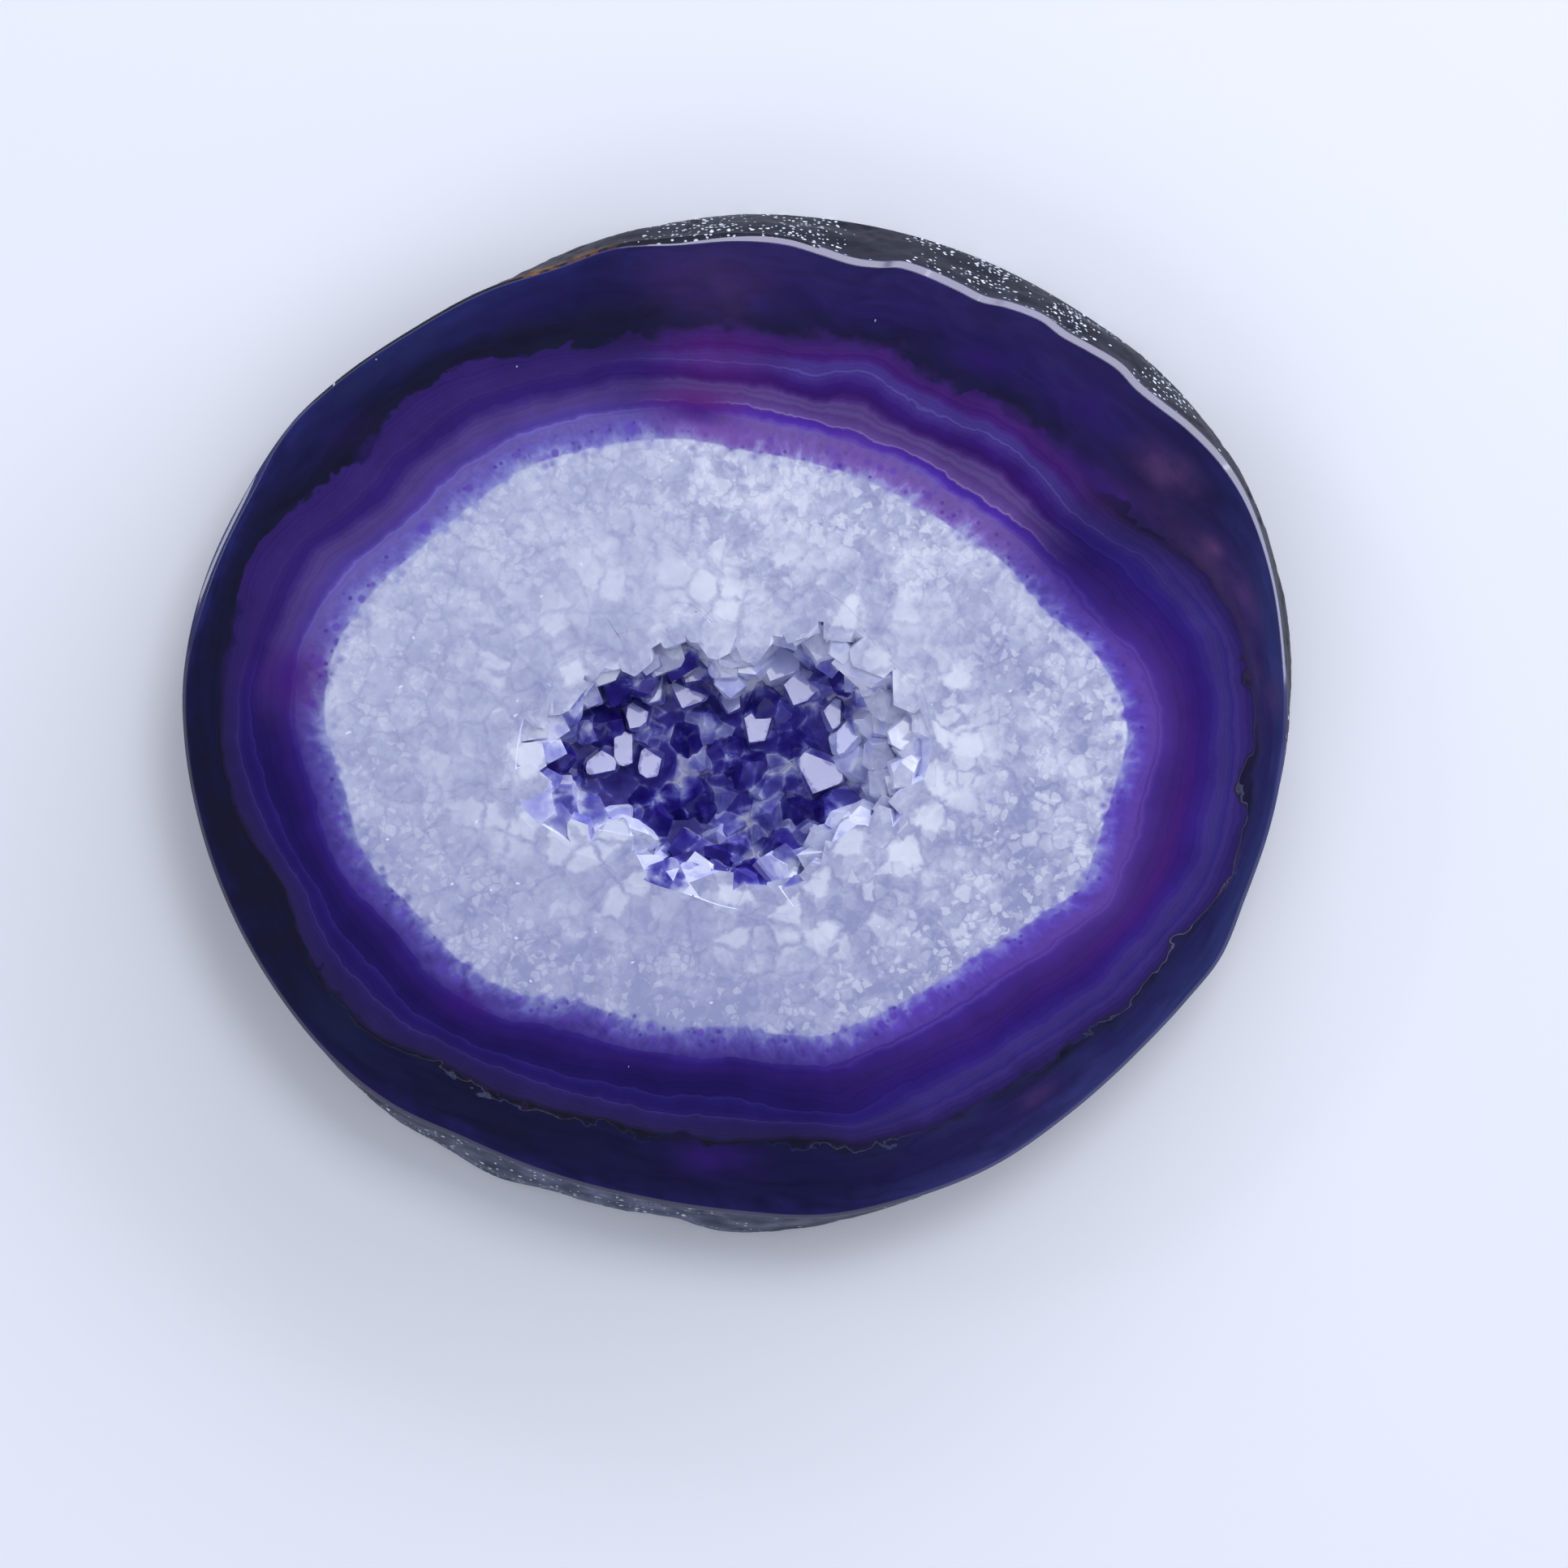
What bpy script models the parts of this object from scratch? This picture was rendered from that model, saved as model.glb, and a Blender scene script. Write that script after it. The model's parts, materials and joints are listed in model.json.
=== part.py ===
"""Agate slice: one polished slab of stone with a blind hollow full of quartz crystals.

The slab lies on its back face. The origin is in the middle of that face, +Z points up
through the polished front, +X is the long way of the slice and +Y the short way.
"""
import math
import random

import bmesh
import bpy
import numpy as np
from mathutils import Matrix, Vector

MM = 0.001

# Driving dimensions, in millimetres
THICKNESS = 12.0
BACK_EASE = 0.7
FRONT_BEVEL_DROP = 0.75
STONE_UNDER_HOLLOW = 2.2
CRUST_GAP = 0.35
CRUST_WALL = 1.3
CRUST_RIM_DROP = 0.9
CRYSTAL_COVER = 0.5
FACE_STEP = 0.15
CRYSTAL_ACROSS = (3.2, 5.6)
CRYSTAL_RISE = (1.7, 3.4)
HOLLOW_MIDDLE = (-1.3, -3.8)
HOLLOW_DEPTH = THICKNESS - STONE_UNDER_HOLLOW
RIND_LUMP = 0.16
RIND_FULLNESS = 0.35

# Heights of the rings round the rind, as shares of the wall's height
WALL_RINGS = (0.07, 0.35, 0.7)

# Crystals: how many, how far up the bowl they reach, and their form as shares of their sizes
CRYSTAL_COUNT = 112
CRYSTAL_REACH = 0.93
CRYSTAL_ROOT = 0.85
CRYSTAL_SHOULDER = 0.35
CRYSTAL_NARROW_SIDE = 0.86
CRYSTAL_LEAN = 0.55

RIM_SEGMENTS = 120
CRUST_SEGMENTS = 48
CRYSTAL_SEED = 11

# Lower edge of the rind: angle from +X towards +Y in degrees, distance from the middle in mm
BACK_OUTLINE = (
    (0, 63.9), (5, 64.7), (10, 65.2), (20, 65.6), (25, 65.6), (30, 65.3), (40, 64.2), (50, 62.6),
    (60, 61.5), (70, 60.6), (80, 59.9), (90, 59.5), (100, 58.9), (110, 58.6), (120, 57.9),
    (130, 58.0), (140, 59.6), (150, 61.0), (160, 61.9), (170, 62.8), (180, 62.8), (190, 62.0),
    (200, 61.2), (210, 60.9), (220, 61.3), (228, 61.3), (235, 60.4), (242, 60.2), (248, 59.0),
    (256, 58.6), (262, 58.3), (268, 59.5), (275, 59.6), (285, 59.1), (295, 58.2), (305, 58.0),
    (315, 58.3), (325, 59.2), (334, 60.6), (345, 61.2), (353, 62.5),
)

# Where the rind meets the polished edge, in the same way
RIM_OUTLINE = (
    (0, 63.7), (7, 63.9), (15, 64.4), (23, 64.7), (28, 64.3), (33, 63.1), (37, 61.8), (40, 61.1),
    (43, 61.0), (47, 60.0), (50, 59.3), (53, 59.2), (57, 58.2), (60, 57.2), (63, 57.1), (70, 56.9),
    (73, 56.0), (76, 55.6), (80, 56.0), (84, 56.6), (90, 56.8), (97, 56.7), (104, 57.2),
    (112, 57.0), (120, 58.1), (130, 59.3), (140, 61.2), (146, 62.3), (155, 63.0), (165, 64.0),
    (175, 64.5), (182, 64.2), (190, 63.6), (200, 62.8), (210, 62.0), (220, 61.2), (228, 60.0),
    (236, 58.1), (245, 57.1), (255, 56.5), (262, 56.5), (270, 57.0), (280, 58.3), (290, 58.8),
    (300, 59.4), (310, 59.5), (320, 60.1), (328, 61.2), (334, 62.3), (341, 62.3), (350, 63.0),
)

# Width of the polished edge, wide only where the slice was ground back along its upper right
BEVEL_WIDTH = (
    (0, 0.4), (15, 0.4), (22, 0.6), (28, 0.85), (40, 0.95), (55, 0.9), (65, 0.95), (75, 0.9),
    (84, 1.0), (97, 1.0), (106, 0.5), (130, 0.4), (180, 0.4), (230, 0.4), (280, 0.4), (330, 0.4),
)

# Mouth of the hollow: angle and distance from the middle of the hollow
MOUTH_OUTLINE = (
    (0, 24.4), (14, 24.0), (30, 22.6), (44, 21.6), (58, 21.6), (72, 18.6), (88, 14.8), (104, 18.2),
    (118, 17.6), (134, 18.2), (150, 21.6), (166, 24.4), (180, 25.2), (194, 25.2), (206, 22.2),
    (222, 19.2), (240, 18.0), (256, 17.6), (272, 18.6), (290, 19.8), (306, 20.4), (322, 20.0),
    (338, 22.0),
)

# Section of the hollow: height above its floor and share of the mouth's radius
HOLLOW_SECTION = ((0.0, 0.50), (0.05, 0.66), (0.2, 0.78), (0.5, 0.89), (1.0, 1.0))

AGATE_COLOUR = (0.030, 0.014, 0.150)
CRYSTAL_COLOUR = (0.085, 0.060, 0.420)


def radius_at(outline, degrees):
    """Distance from the middle on a smooth closed curve through an outline's points."""
    angles = [point[0] for point in outline]
    radii = [point[1] for point in outline]
    count = len(outline)
    degrees %= 360.0
    start = max(index for index in range(count) if angles[index] <= degrees)
    steps = [start - 1, start, start + 1, start + 2]
    turn = [360.0 * (step // count) for step in steps]
    a0, a1, a2, a3 = [angles[step % count] + lap for step, lap in zip(steps, turn)]
    r0, r1, r2, r3 = [radii[step % count] for step in steps]
    span = a2 - a1
    slope1 = (r2 - r0) / (a2 - a0) * span
    slope2 = (r3 - r1) / (a3 - a1) * span
    t = (degrees - a1) / span
    return (
        (2 * t**3 - 3 * t**2 + 1) * r1
        + (t**3 - 2 * t**2 + t) * slope1
        + (3 * t**2 - 2 * t**3) * r2
        + (t**3 - t**2) * slope2
    )


def ring(radius_of, height, middle=(0.0, 0.0), segments=RIM_SEGMENTS):
    """One closed ring of points, its radius given by a function of the angle in degrees."""
    points = []
    for step in range(segments):
        degrees = 360.0 * step / segments
        radius = radius_of(degrees)
        turn = math.radians(degrees)
        x = middle[0] + radius * math.cos(turn)
        y = middle[1] + radius * math.sin(turn)
        points.append(Vector((x, y, height)) * MM)
    return points


def closed_loft(name, rings, first_cap, last_cap):
    """A closed body through a run of rings, shut by a fan to a point at each end."""
    mesh = bpy.data.meshes.new(name)
    body = bmesh.new()
    loops = [[body.verts.new(point) for point in points] for points in rings]
    start = body.verts.new(Vector(first_cap) * MM)
    end = body.verts.new(Vector(last_cap) * MM)
    segments = len(rings[0])
    for lower, upper in zip(loops, loops[1:]):
        for index in range(segments):
            after = (index + 1) % segments
            body.faces.new((lower[index], lower[after], upper[after], upper[index]))
    for index in range(segments):
        after = (index + 1) % segments
        body.faces.new((start, loops[0][after], loops[0][index]))
        body.faces.new((end, loops[-1][index], loops[-1][after]))
    bmesh.ops.recalc_face_normals(body, faces=body.faces)
    body.to_mesh(mesh)
    body.free()
    piece = bpy.data.objects.new(name, mesh)
    bpy.context.scene.collection.objects.link(piece)
    return piece


def rind_lumps(degrees, height):
    """Low lumps of the weathered outside, in mm, fading to nothing at both edges."""
    turn = math.radians(degrees)
    lumps = math.sin(7 * turn + 0.5 * height) + 0.7 * math.sin(13 * turn - 0.8 * height + 1.3)
    return RIND_LUMP * lumps * math.sin(math.pi * height / THICKNESS)


def wall_radius(degrees, height):
    """Outside of the rind at a height: from the lower edge to the rim, a little full between."""
    low = radius_at(BACK_OUTLINE, degrees)
    high = radius_at(RIM_OUTLINE, degrees)
    share = height / (THICKNESS - FRONT_BEVEL_DROP)
    fullness = RIND_FULLNESS * math.sin(math.pi * share)
    return low + (high - low) * share + fullness + rind_lumps(degrees, height)


def face_radius(degrees):
    """Edge of the polished front face."""
    return radius_at(RIM_OUTLINE, degrees) - radius_at(BEVEL_WIDTH, degrees)


def hollow_share(rise):
    """Share of the mouth's radius at a height, itself a share of the hollow's depth."""
    rises = [step[0] for step in HOLLOW_SECTION]
    shares = [step[1] for step in HOLLOW_SECTION]
    return float(np.interp(rise, rises, shares))


def hollow_rings(inset, top, segments):
    """Rings down the hollow, from the height top to its floor, set in and up by inset."""
    floor = STONE_UNDER_HOLLOW + inset
    heights = [floor + HOLLOW_DEPTH * rise for rise, _ in HOLLOW_SECTION]
    heights = [height for height in heights if height < top] + [top]
    rings = []
    for height in reversed(heights):
        share = hollow_share((height - floor) / HOLLOW_DEPTH)
        rings.append(
            ring(
                lambda degrees: share * radius_at(MOUTH_OUTLINE, degrees) - inset,
                height,
                HOLLOW_MIDDLE,
                segments,
            )
        )
    return rings


def agate_slab():
    """The stone, as one piece: rind, polished faces and the pit in which the crystals sit."""
    wall_top = THICKNESS - FRONT_BEVEL_DROP
    rings = [ring(lambda degrees: wall_radius(degrees, 0.0) - BACK_EASE, 0.0)]
    for share in WALL_RINGS:
        height = wall_top * share
        rings.append(ring(lambda degrees: wall_radius(degrees, height), height))
    rings.append(ring(lambda degrees: radius_at(RIM_OUTLINE, degrees), wall_top))
    rings.append(ring(face_radius, THICKNESS))
    rings += hollow_rings(0.0, THICKNESS, RIM_SEGMENTS)
    back_middle = (0.0, 0.0, 0.0)
    pit_middle = (*HOLLOW_MIDDLE, STONE_UNDER_HOLLOW)
    return closed_loft("agate_slab", rings, back_middle, pit_middle)


def crust_bed():
    """The bowl of quartz from which the crystals grow, a small gap inside the pit."""
    inner = CRUST_GAP + CRUST_WALL
    top = THICKNESS - CRUST_RIM_DROP
    rings = list(reversed(hollow_rings(CRUST_GAP, top, CRUST_SEGMENTS)))
    rings += hollow_rings(inner, top, CRUST_SEGMENTS)
    low = (*HOLLOW_MIDDLE, STONE_UNDER_HOLLOW + CRUST_GAP)
    high = (*HOLLOW_MIDDLE, STONE_UNDER_HOLLOW + inner)
    return closed_loft("crystal_crust", rings, low, high)


def crystal_room():
    """The space that the crystals may fill: they root inside the bowl and stop at the face."""
    inset = CRUST_GAP + CRYSTAL_COVER
    top = THICKNESS - CRUST_GAP - FACE_STEP
    rings = list(reversed(hollow_rings(inset, top, CRUST_SEGMENTS)))
    low = (*HOLLOW_MIDDLE, STONE_UNDER_HOLLOW + inset)
    return closed_loft("crystal_room", rings, low, (*HOLLOW_MIDDLE, top))


def bed_point(along, degrees):
    """A point on the bowl and its normal: along is 0 at the middle and 1 at the mouth."""
    mouth = radius_at(MOUTH_OUTLINE, degrees)
    section = [(0.0, 0.0)]
    section += [(share * mouth, rise * HOLLOW_DEPTH) for rise, share in HOLLOW_SECTION]
    steps = [math.dist(low, high) for low, high in zip(section, section[1:])]
    left = along * sum(steps)
    index = 0
    while left > steps[index]:
        left -= steps[index]
        index += 1
    low, high = section[index], section[index + 1]
    run = high[0] - low[0]
    climb = high[1] - low[1]
    part_way = left / steps[index]
    turn = math.radians(degrees)
    outward = Vector((math.cos(turn), math.sin(turn), 0.0))
    normal = (Vector((0.0, 0.0, run)) - outward * climb).normalized()
    inset = CRUST_GAP + CRUST_WALL
    radius = max(low[0] + part_way * run - inset, 0.0)
    height = STONE_UNDER_HOLLOW + inset + low[1] + part_way * climb
    return Vector((*HOLLOW_MIDDLE, height)) + outward * radius, normal


def crystal(body, base, axis, across, rise, twist):
    """One quartz point in mm: a six-sided prism with six faces sloping to its tip."""
    root = -CRYSTAL_ROOT * CRUST_WALL
    shoulder = CRYSTAL_SHOULDER * rise
    turned = Vector((0.0, 0.0, 1.0)).rotation_difference(axis).to_matrix().to_4x4()
    place = Matrix.Translation(base) @ turned @ Matrix.Rotation(twist, 4, "Z")
    foot = []
    collar = []
    for side in range(6):
        turn = math.radians(60.0 * side)
        half = 0.5 * across * (1.0 if side % 2 else CRYSTAL_NARROW_SIDE)
        x = half * math.cos(turn)
        y = half * math.sin(turn)
        foot.append(body.verts.new(place @ Vector((x, y, root)) * MM))
        collar.append(body.verts.new(place @ Vector((x, y, shoulder)) * MM))
    tip = body.verts.new(place @ Vector((0.0, 0.0, rise)) * MM)
    body.faces.new(list(reversed(foot)))
    for side in range(6):
        after = (side + 1) % 6
        body.faces.new((foot[side], foot[after], collar[after], collar[side]))
        body.faces.new((collar[side], collar[after], tip))


def crystal_points():
    """All the crystals as one object of overlapping closed bodies, on a sunflower pattern."""
    draw = random.Random(CRYSTAL_SEED)
    golden = math.degrees(math.pi * (3.0 - math.sqrt(5.0)))
    body = bmesh.new()
    for index in range(CRYSTAL_COUNT):
        along = CRYSTAL_REACH * math.sqrt((index + 0.5) / CRYSTAL_COUNT)
        degrees = index * golden + draw.uniform(-5.0, 5.0)
        base, normal = bed_point(along, degrees)
        lean = Vector((draw.uniform(-1, 1), draw.uniform(-1, 1), 0.6 + draw.random()))
        axis = (normal + CRYSTAL_LEAN * lean.normalized()).normalized()
        across = draw.uniform(*CRYSTAL_ACROSS)
        rise = draw.uniform(*CRYSTAL_RISE)
        crystal(body, base, axis, across, rise, draw.uniform(0.0, math.pi / 3.0))
    mesh = bpy.data.meshes.new("crystal_points")
    body.to_mesh(mesh)
    body.free()
    points = bpy.data.objects.new("crystal_points", mesh)
    bpy.context.scene.collection.objects.link(points)
    return points


def cut(piece, tool, operation):
    """Apply an exact Boolean of piece and tool, and remove the tool."""
    step = piece.modifiers.new(operation.lower(), "BOOLEAN")
    step.operation = operation
    step.object = tool
    step.solver = "EXACT"
    step.use_self = True
    graph = bpy.context.evaluated_depsgraph_get()
    result = bpy.data.meshes.new_from_object(piece.evaluated_get(graph))
    piece.modifiers.remove(step)
    piece.data = result
    bpy.data.objects.remove(tool, do_unlink=True)


def fill_sealed_gaps(piece):
    """Keep the outer skin alone: small gaps shut in between crystals become solid quartz."""
    body = bmesh.new()
    body.from_mesh(piece.data)
    left = set(body.faces)
    skins = []
    while left:
        edge_of_skin = [left.pop()]
        skin = list(edge_of_skin)
        while edge_of_skin:
            face = edge_of_skin.pop()
            for edge in face.edges:
                for other in edge.link_faces:
                    if other in left:
                        left.remove(other)
                        edge_of_skin.append(other)
                        skin.append(other)
        skins.append(skin)
    skins.sort(key=len)
    for skin in skins[:-1]:
        bmesh.ops.delete(body, geom=skin, context="FACES")
    body.to_mesh(piece.data)
    body.free()


def crystal_crust():
    """The hollow's crystals as one crust, cut level with the polished face."""
    points = crystal_points()
    cut(points, crystal_room(), "INTERSECT")
    crust = crust_bed()
    cut(crust, points, "UNION")
    fill_sealed_gaps(crust)
    return crust


def coat(piece, name, colour, roughness):
    """Give a piece its own material."""
    material = bpy.data.materials.new(name)
    material.use_nodes = True
    shader = material.node_tree.nodes["Principled BSDF"]
    shader.inputs["Base Color"].default_value = (*colour, 1.0)
    shader.inputs["Roughness"].default_value = roughness
    shader.inputs["Metallic"].default_value = 0.0
    piece.data.materials.clear()
    piece.data.materials.append(material)


def main():
    for old in list(bpy.data.objects):
        bpy.data.objects.remove(old, do_unlink=True)
    slab = agate_slab()
    slab.data.shade_smooth()
    slab.data.set_sharp_from_angle(angle=math.radians(30.0))
    coat(slab, "polished agate", AGATE_COLOUR, 0.08)
    crust = crystal_crust()
    crust.data.shade_flat()
    coat(crust, "quartz crystal", CRYSTAL_COLOUR, 0.05)


main()
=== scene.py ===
# %% [markdown]
# # A slice of dyed agate
# This lesson dresses a plain solid model of an agate slice: a stone sawn from a nodule, polished
# flat on both faces, soaked in violet dye, with a hollow of quartz crystals in its middle.
# The plain model gives the place and the size of everything. Here the shapes get finer and every
# surface gets its finish. Lengths are in millimetres, until a mesh is written or a light is placed.

import itertools
import json
import math
import random

import bmesh
import bpy
import numpy as np
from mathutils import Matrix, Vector, kdtree, noise

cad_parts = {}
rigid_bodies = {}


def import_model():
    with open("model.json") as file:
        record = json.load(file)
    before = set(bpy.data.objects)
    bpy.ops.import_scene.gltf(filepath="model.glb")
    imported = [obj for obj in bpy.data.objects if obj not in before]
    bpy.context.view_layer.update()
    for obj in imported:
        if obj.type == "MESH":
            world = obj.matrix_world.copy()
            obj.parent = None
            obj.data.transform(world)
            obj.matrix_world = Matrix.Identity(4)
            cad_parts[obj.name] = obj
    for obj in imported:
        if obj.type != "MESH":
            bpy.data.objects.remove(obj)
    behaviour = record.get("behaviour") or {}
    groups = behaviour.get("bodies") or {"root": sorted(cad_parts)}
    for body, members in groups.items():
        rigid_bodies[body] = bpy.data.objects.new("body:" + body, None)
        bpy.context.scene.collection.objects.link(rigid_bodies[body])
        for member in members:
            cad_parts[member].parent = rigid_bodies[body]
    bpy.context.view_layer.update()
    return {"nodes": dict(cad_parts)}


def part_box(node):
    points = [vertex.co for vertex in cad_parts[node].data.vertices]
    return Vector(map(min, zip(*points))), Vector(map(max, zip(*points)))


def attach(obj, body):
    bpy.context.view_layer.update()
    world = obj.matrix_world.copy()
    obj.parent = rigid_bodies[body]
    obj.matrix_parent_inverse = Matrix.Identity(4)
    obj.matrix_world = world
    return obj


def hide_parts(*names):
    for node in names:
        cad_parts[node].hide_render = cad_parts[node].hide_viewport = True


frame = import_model()
MM = 0.001
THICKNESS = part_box("agate_slab")[1].z / MM
print("plain model loaded:", sorted(frame["nodes"]), "thickness", round(THICKNESS, 2), "mm")

# %% [markdown]
# ## The outlines
# An agate grows inwards, layer on layer, so every band repeats the outline of the nodule and
# slowly turns into the outline of the hollow. We could draw each band by hand, but it is truer to
# measure a few outlines and let all the others lie between them. Each outline is a short list of
# angle and distance from the middle, joined by a smooth closed curve.

# %% Outlines of the rind
BACK_OUTLINE = (
    (0, 63.9), (5, 64.7), (10, 65.2), (20, 65.6), (25, 65.6), (30, 65.3), (40, 64.2), (50, 62.6),
    (60, 61.5), (70, 60.6), (80, 59.9), (90, 59.5), (100, 58.9), (110, 58.6), (120, 57.9),
    (130, 58.0), (140, 59.6), (150, 61.0), (160, 61.9), (170, 62.8), (180, 62.8), (190, 62.0),
    (200, 61.2), (210, 60.9), (220, 61.3), (228, 61.3), (235, 60.4), (242, 60.2), (248, 59.0),
    (256, 58.6), (262, 58.3), (268, 59.5), (275, 59.6), (285, 59.1), (295, 58.2), (305, 58.0),
    (315, 58.3), (325, 59.2), (334, 60.6), (345, 61.2), (353, 62.5),
)
RIM_OUTLINE = (
    (0, 63.7), (7, 63.9), (15, 64.4), (23, 64.7), (28, 64.3), (33, 63.1), (37, 61.8), (40, 61.1),
    (43, 61.0), (47, 60.0), (50, 59.3), (53, 59.2), (57, 58.2), (60, 57.2), (63, 57.1), (70, 56.9),
    (73, 56.0), (76, 55.6), (80, 56.0), (84, 56.6), (90, 56.8), (97, 56.7), (104, 57.2),
    (112, 57.0), (120, 58.1), (130, 59.3), (140, 61.2), (146, 62.3), (155, 63.0), (165, 64.0),
    (175, 64.5), (182, 64.2), (190, 63.6), (200, 62.8), (210, 62.0), (220, 61.2), (228, 60.0),
    (236, 58.1), (245, 57.1), (255, 56.5), (262, 56.5), (270, 57.0), (280, 58.3), (290, 58.8),
    (300, 59.4), (310, 59.5), (320, 60.1), (328, 61.2), (334, 62.3), (341, 62.3), (350, 63.0),
)
BEVEL_WIDTH = (
    (0, 0.4), (15, 0.4), (22, 0.6), (28, 0.85), (40, 0.95), (55, 0.9), (65, 0.95), (75, 0.9),
    (84, 1.0), (97, 1.0), (106, 0.5), (130, 0.4), (149, 0.42), (154, 0.8), (160, 0.9), (168, 0.8),
    (174, 0.45), (190, 0.4), (230, 0.4), (280, 0.4), (330, 0.4),
)


def outline_at(outline, degrees):
    """Radius on a smooth closed curve through an outline's points, for any list of angles."""
    angle = np.array([point[0] for point in outline], float)
    radius = np.array([point[1] for point in outline], float)
    degrees = np.asarray(degrees, float) % 360.0
    start = np.searchsorted(angle, degrees, side="right") - 1
    count = len(outline)
    steps = [start + step for step in (-1, 0, 1, 2)]
    a0, a1, a2, a3 = [angle[step % count] + 360.0 * (step // count) for step in steps]
    r0, r1, r2, r3 = [radius[step % count] for step in steps]
    span = a2 - a1
    slope1 = (r2 - r0) / (a2 - a0) * span
    slope2 = (r3 - r1) / (a3 - a1) * span
    t = (degrees - a1) / span
    return (
        (2 * t**3 - 3 * t**2 + 1) * r1
        + (t**3 - 2 * t**2 + t) * slope1
        + (3 * t**2 - 2 * t**3) * r2
        + (t**3 - t**2) * slope2
    )


AROUND = 1000
DEGREES = np.arange(AROUND) * 360.0 / AROUND
TURN = np.radians(DEGREES)
# The plain model has straight chords between its points; the smooth curve stays inside them
CHORD_DEPTH = 0.05
RIM = outline_at(RIM_OUTLINE, DEGREES) - CHORD_DEPTH
FACE_EDGE = RIM - outline_at(BEVEL_WIDTH, DEGREES)
print("rim is", round(RIM.min(), 1), "to", round(RIM.max(), 1), "mm from the middle")

# %% Outlines of the bands and of the hollow
# Where the dark outer zone ends, where the quartz begins, and the mouth of the hollow
DARK_OUTLINE = (
    (0, 59.6), (10, 58.8), (20, 55.5), (30, 49.8), (40, 48.1), (50, 47.5), (60, 45.6), (70, 45.9),
    (80, 44.1), (90, 45.1), (100, 45.4), (110, 46.4), (120, 48.9), (130, 52.1), (140, 53.9),
    (150, 54.5), (160, 58.8), (170, 59.4), (180, 60.0), (190, 59.2), (200, 56.1), (210, 57.0),
    (220, 55.5), (230, 52.3), (240, 51.0), (250, 48.9), (260, 48.8), (270, 48.5), (280, 49.2),
    (287, 51.1), (296, 51.7), (301, 51.9), (308, 52.4), (315, 53.1), (320, 54.3), (324, 55.5),
    (330, 56.1), (334, 56.8), (340, 58.7), (350, 59.7),
)
QUARTZ_OUTLINE = (
    (0, 44.9), (10, 42.3), (20, 37.8), (30, 36.0), (40, 33.8), (50, 32.4), (60, 31.7), (70, 31.2),
    (80, 31.1), (90, 31.5), (100, 33.1), (110, 34.5), (120, 36.2), (130, 38.2), (140, 39.5),
    (150, 41.4), (160, 44.6), (170, 47.3), (180, 47.6), (190, 46.1), (200, 45.6), (210, 43.2),
    (220, 42.3), (230, 40.6), (240, 37.2), (250, 36.4), (260, 35.6), (270, 35.3), (280, 36.7),
    (286, 37.4), (296, 37.4), (308, 37.8), (316, 38.6), (325, 40.7), (330, 42.3), (334, 44.0),
    (340, 43.8), (350, 44.1),
)
MOUTH_OUTLINE = (
    (0, 24.4), (14, 24.0), (30, 22.6), (44, 21.6), (58, 21.6), (72, 18.6), (88, 14.8), (104, 18.2),
    (118, 17.6), (134, 18.2), (150, 21.6), (166, 24.4), (180, 25.2), (194, 25.2), (206, 22.2),
    (222, 19.2), (240, 18.0), (256, 17.6), (272, 18.6), (290, 19.8), (306, 20.4), (322, 20.0),
    (338, 22.0),
)
EDGE_ZONE_BREADTH = 3.57
HOLLOW_MIDDLE = np.array((-1.3, -3.8))
STONE_UNDER_HOLLOW = 2.2
HOLLOW_DEPTH = THICKNESS - STONE_UNDER_HOLLOW
# Share of the depth, counted up from the floor, and share of the mouth's radius there
HOLLOW_SECTION = ((0.0, 0.50), (0.05, 0.66), (0.2, 0.78), (0.5, 0.89), (1.0, 1.0))
HOLLOW_RISES, HOLLOW_SHARES = zip(*HOLLOW_SECTION)

DARK = outline_at(DARK_OUTLINE, DEGREES)
QUARTZ = outline_at(QUARTZ_OUTLINE, DEGREES)
VIOLET = QUARTZ + EDGE_ZONE_BREADTH
MOUTH = outline_at(MOUTH_OUTLINE, DEGREES)
print("bands are", round((DARK - VIOLET).min(), 1), "to", round((DARK - VIOLET).max(), 1), "mm broad")

# %% [markdown]
# ## The stone
# A polar grid suits a slice: rings follow the outlines, and each ring has the same number of
# points, so neighbouring rings join into neat four-sided faces. A sculpted or remeshed stone would
# have no such order, and the bands would have to be painted. Here each point also carries a number
# called growth: 0 at the rim, 1 where the dark zone ends, 2 at the violet line, 3 where the quartz
# begins and 4 at the hollow. The material turns that number into bands.

# %% Helpers for a polar grid
RANDOM_SEED = 23
draw = random.Random(RANDOM_SEED)


def circle_points(radius, height, middle=(0.0, 0.0)):
    """One ring of points; radius and height may be one number or one for each angle."""
    x = middle[0] + radius * np.cos(TURN)
    y = middle[1] + radius * np.sin(TURN)
    return np.stack([x, y, np.broadcast_to(height, x.shape)], axis=1)


def rings_between(contours, levels):
    """Rings at growth levels: a whole number lies on a contour, any other between two."""
    rings = []
    for level in levels:
        lower = min(int(level), len(contours) - 2)
        share = level - lower
        rings.append((1 - share) * contours[lower] + share * contours[lower + 1])
    return rings


def crystal_steps(circumference, size, depth):
    """Depths round a ring in flat steps, as where a saw cuts through crystals side by side."""
    edges = [0.0]
    while edges[-1] < circumference:
        edges.append(edges[-1] + size * draw.uniform(0.6, 1.5))
    along = DEGREES / 360.0 * circumference
    result = np.zeros(AROUND)
    for low, high in zip(edges, edges[1:]):
        inside = (along >= low) & (along < high)
        share = (along[inside] - low) / (high - low)
        tilt = draw.uniform(-1.0, 1.0)
        result[inside] = depth * (draw.uniform(-0.5, 0.5) + tilt * (share - 0.5))
    return result


print("each ring has", AROUND, "points,", round(2 * math.pi * RIM.mean() / AROUND, 2), "mm apart")

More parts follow.
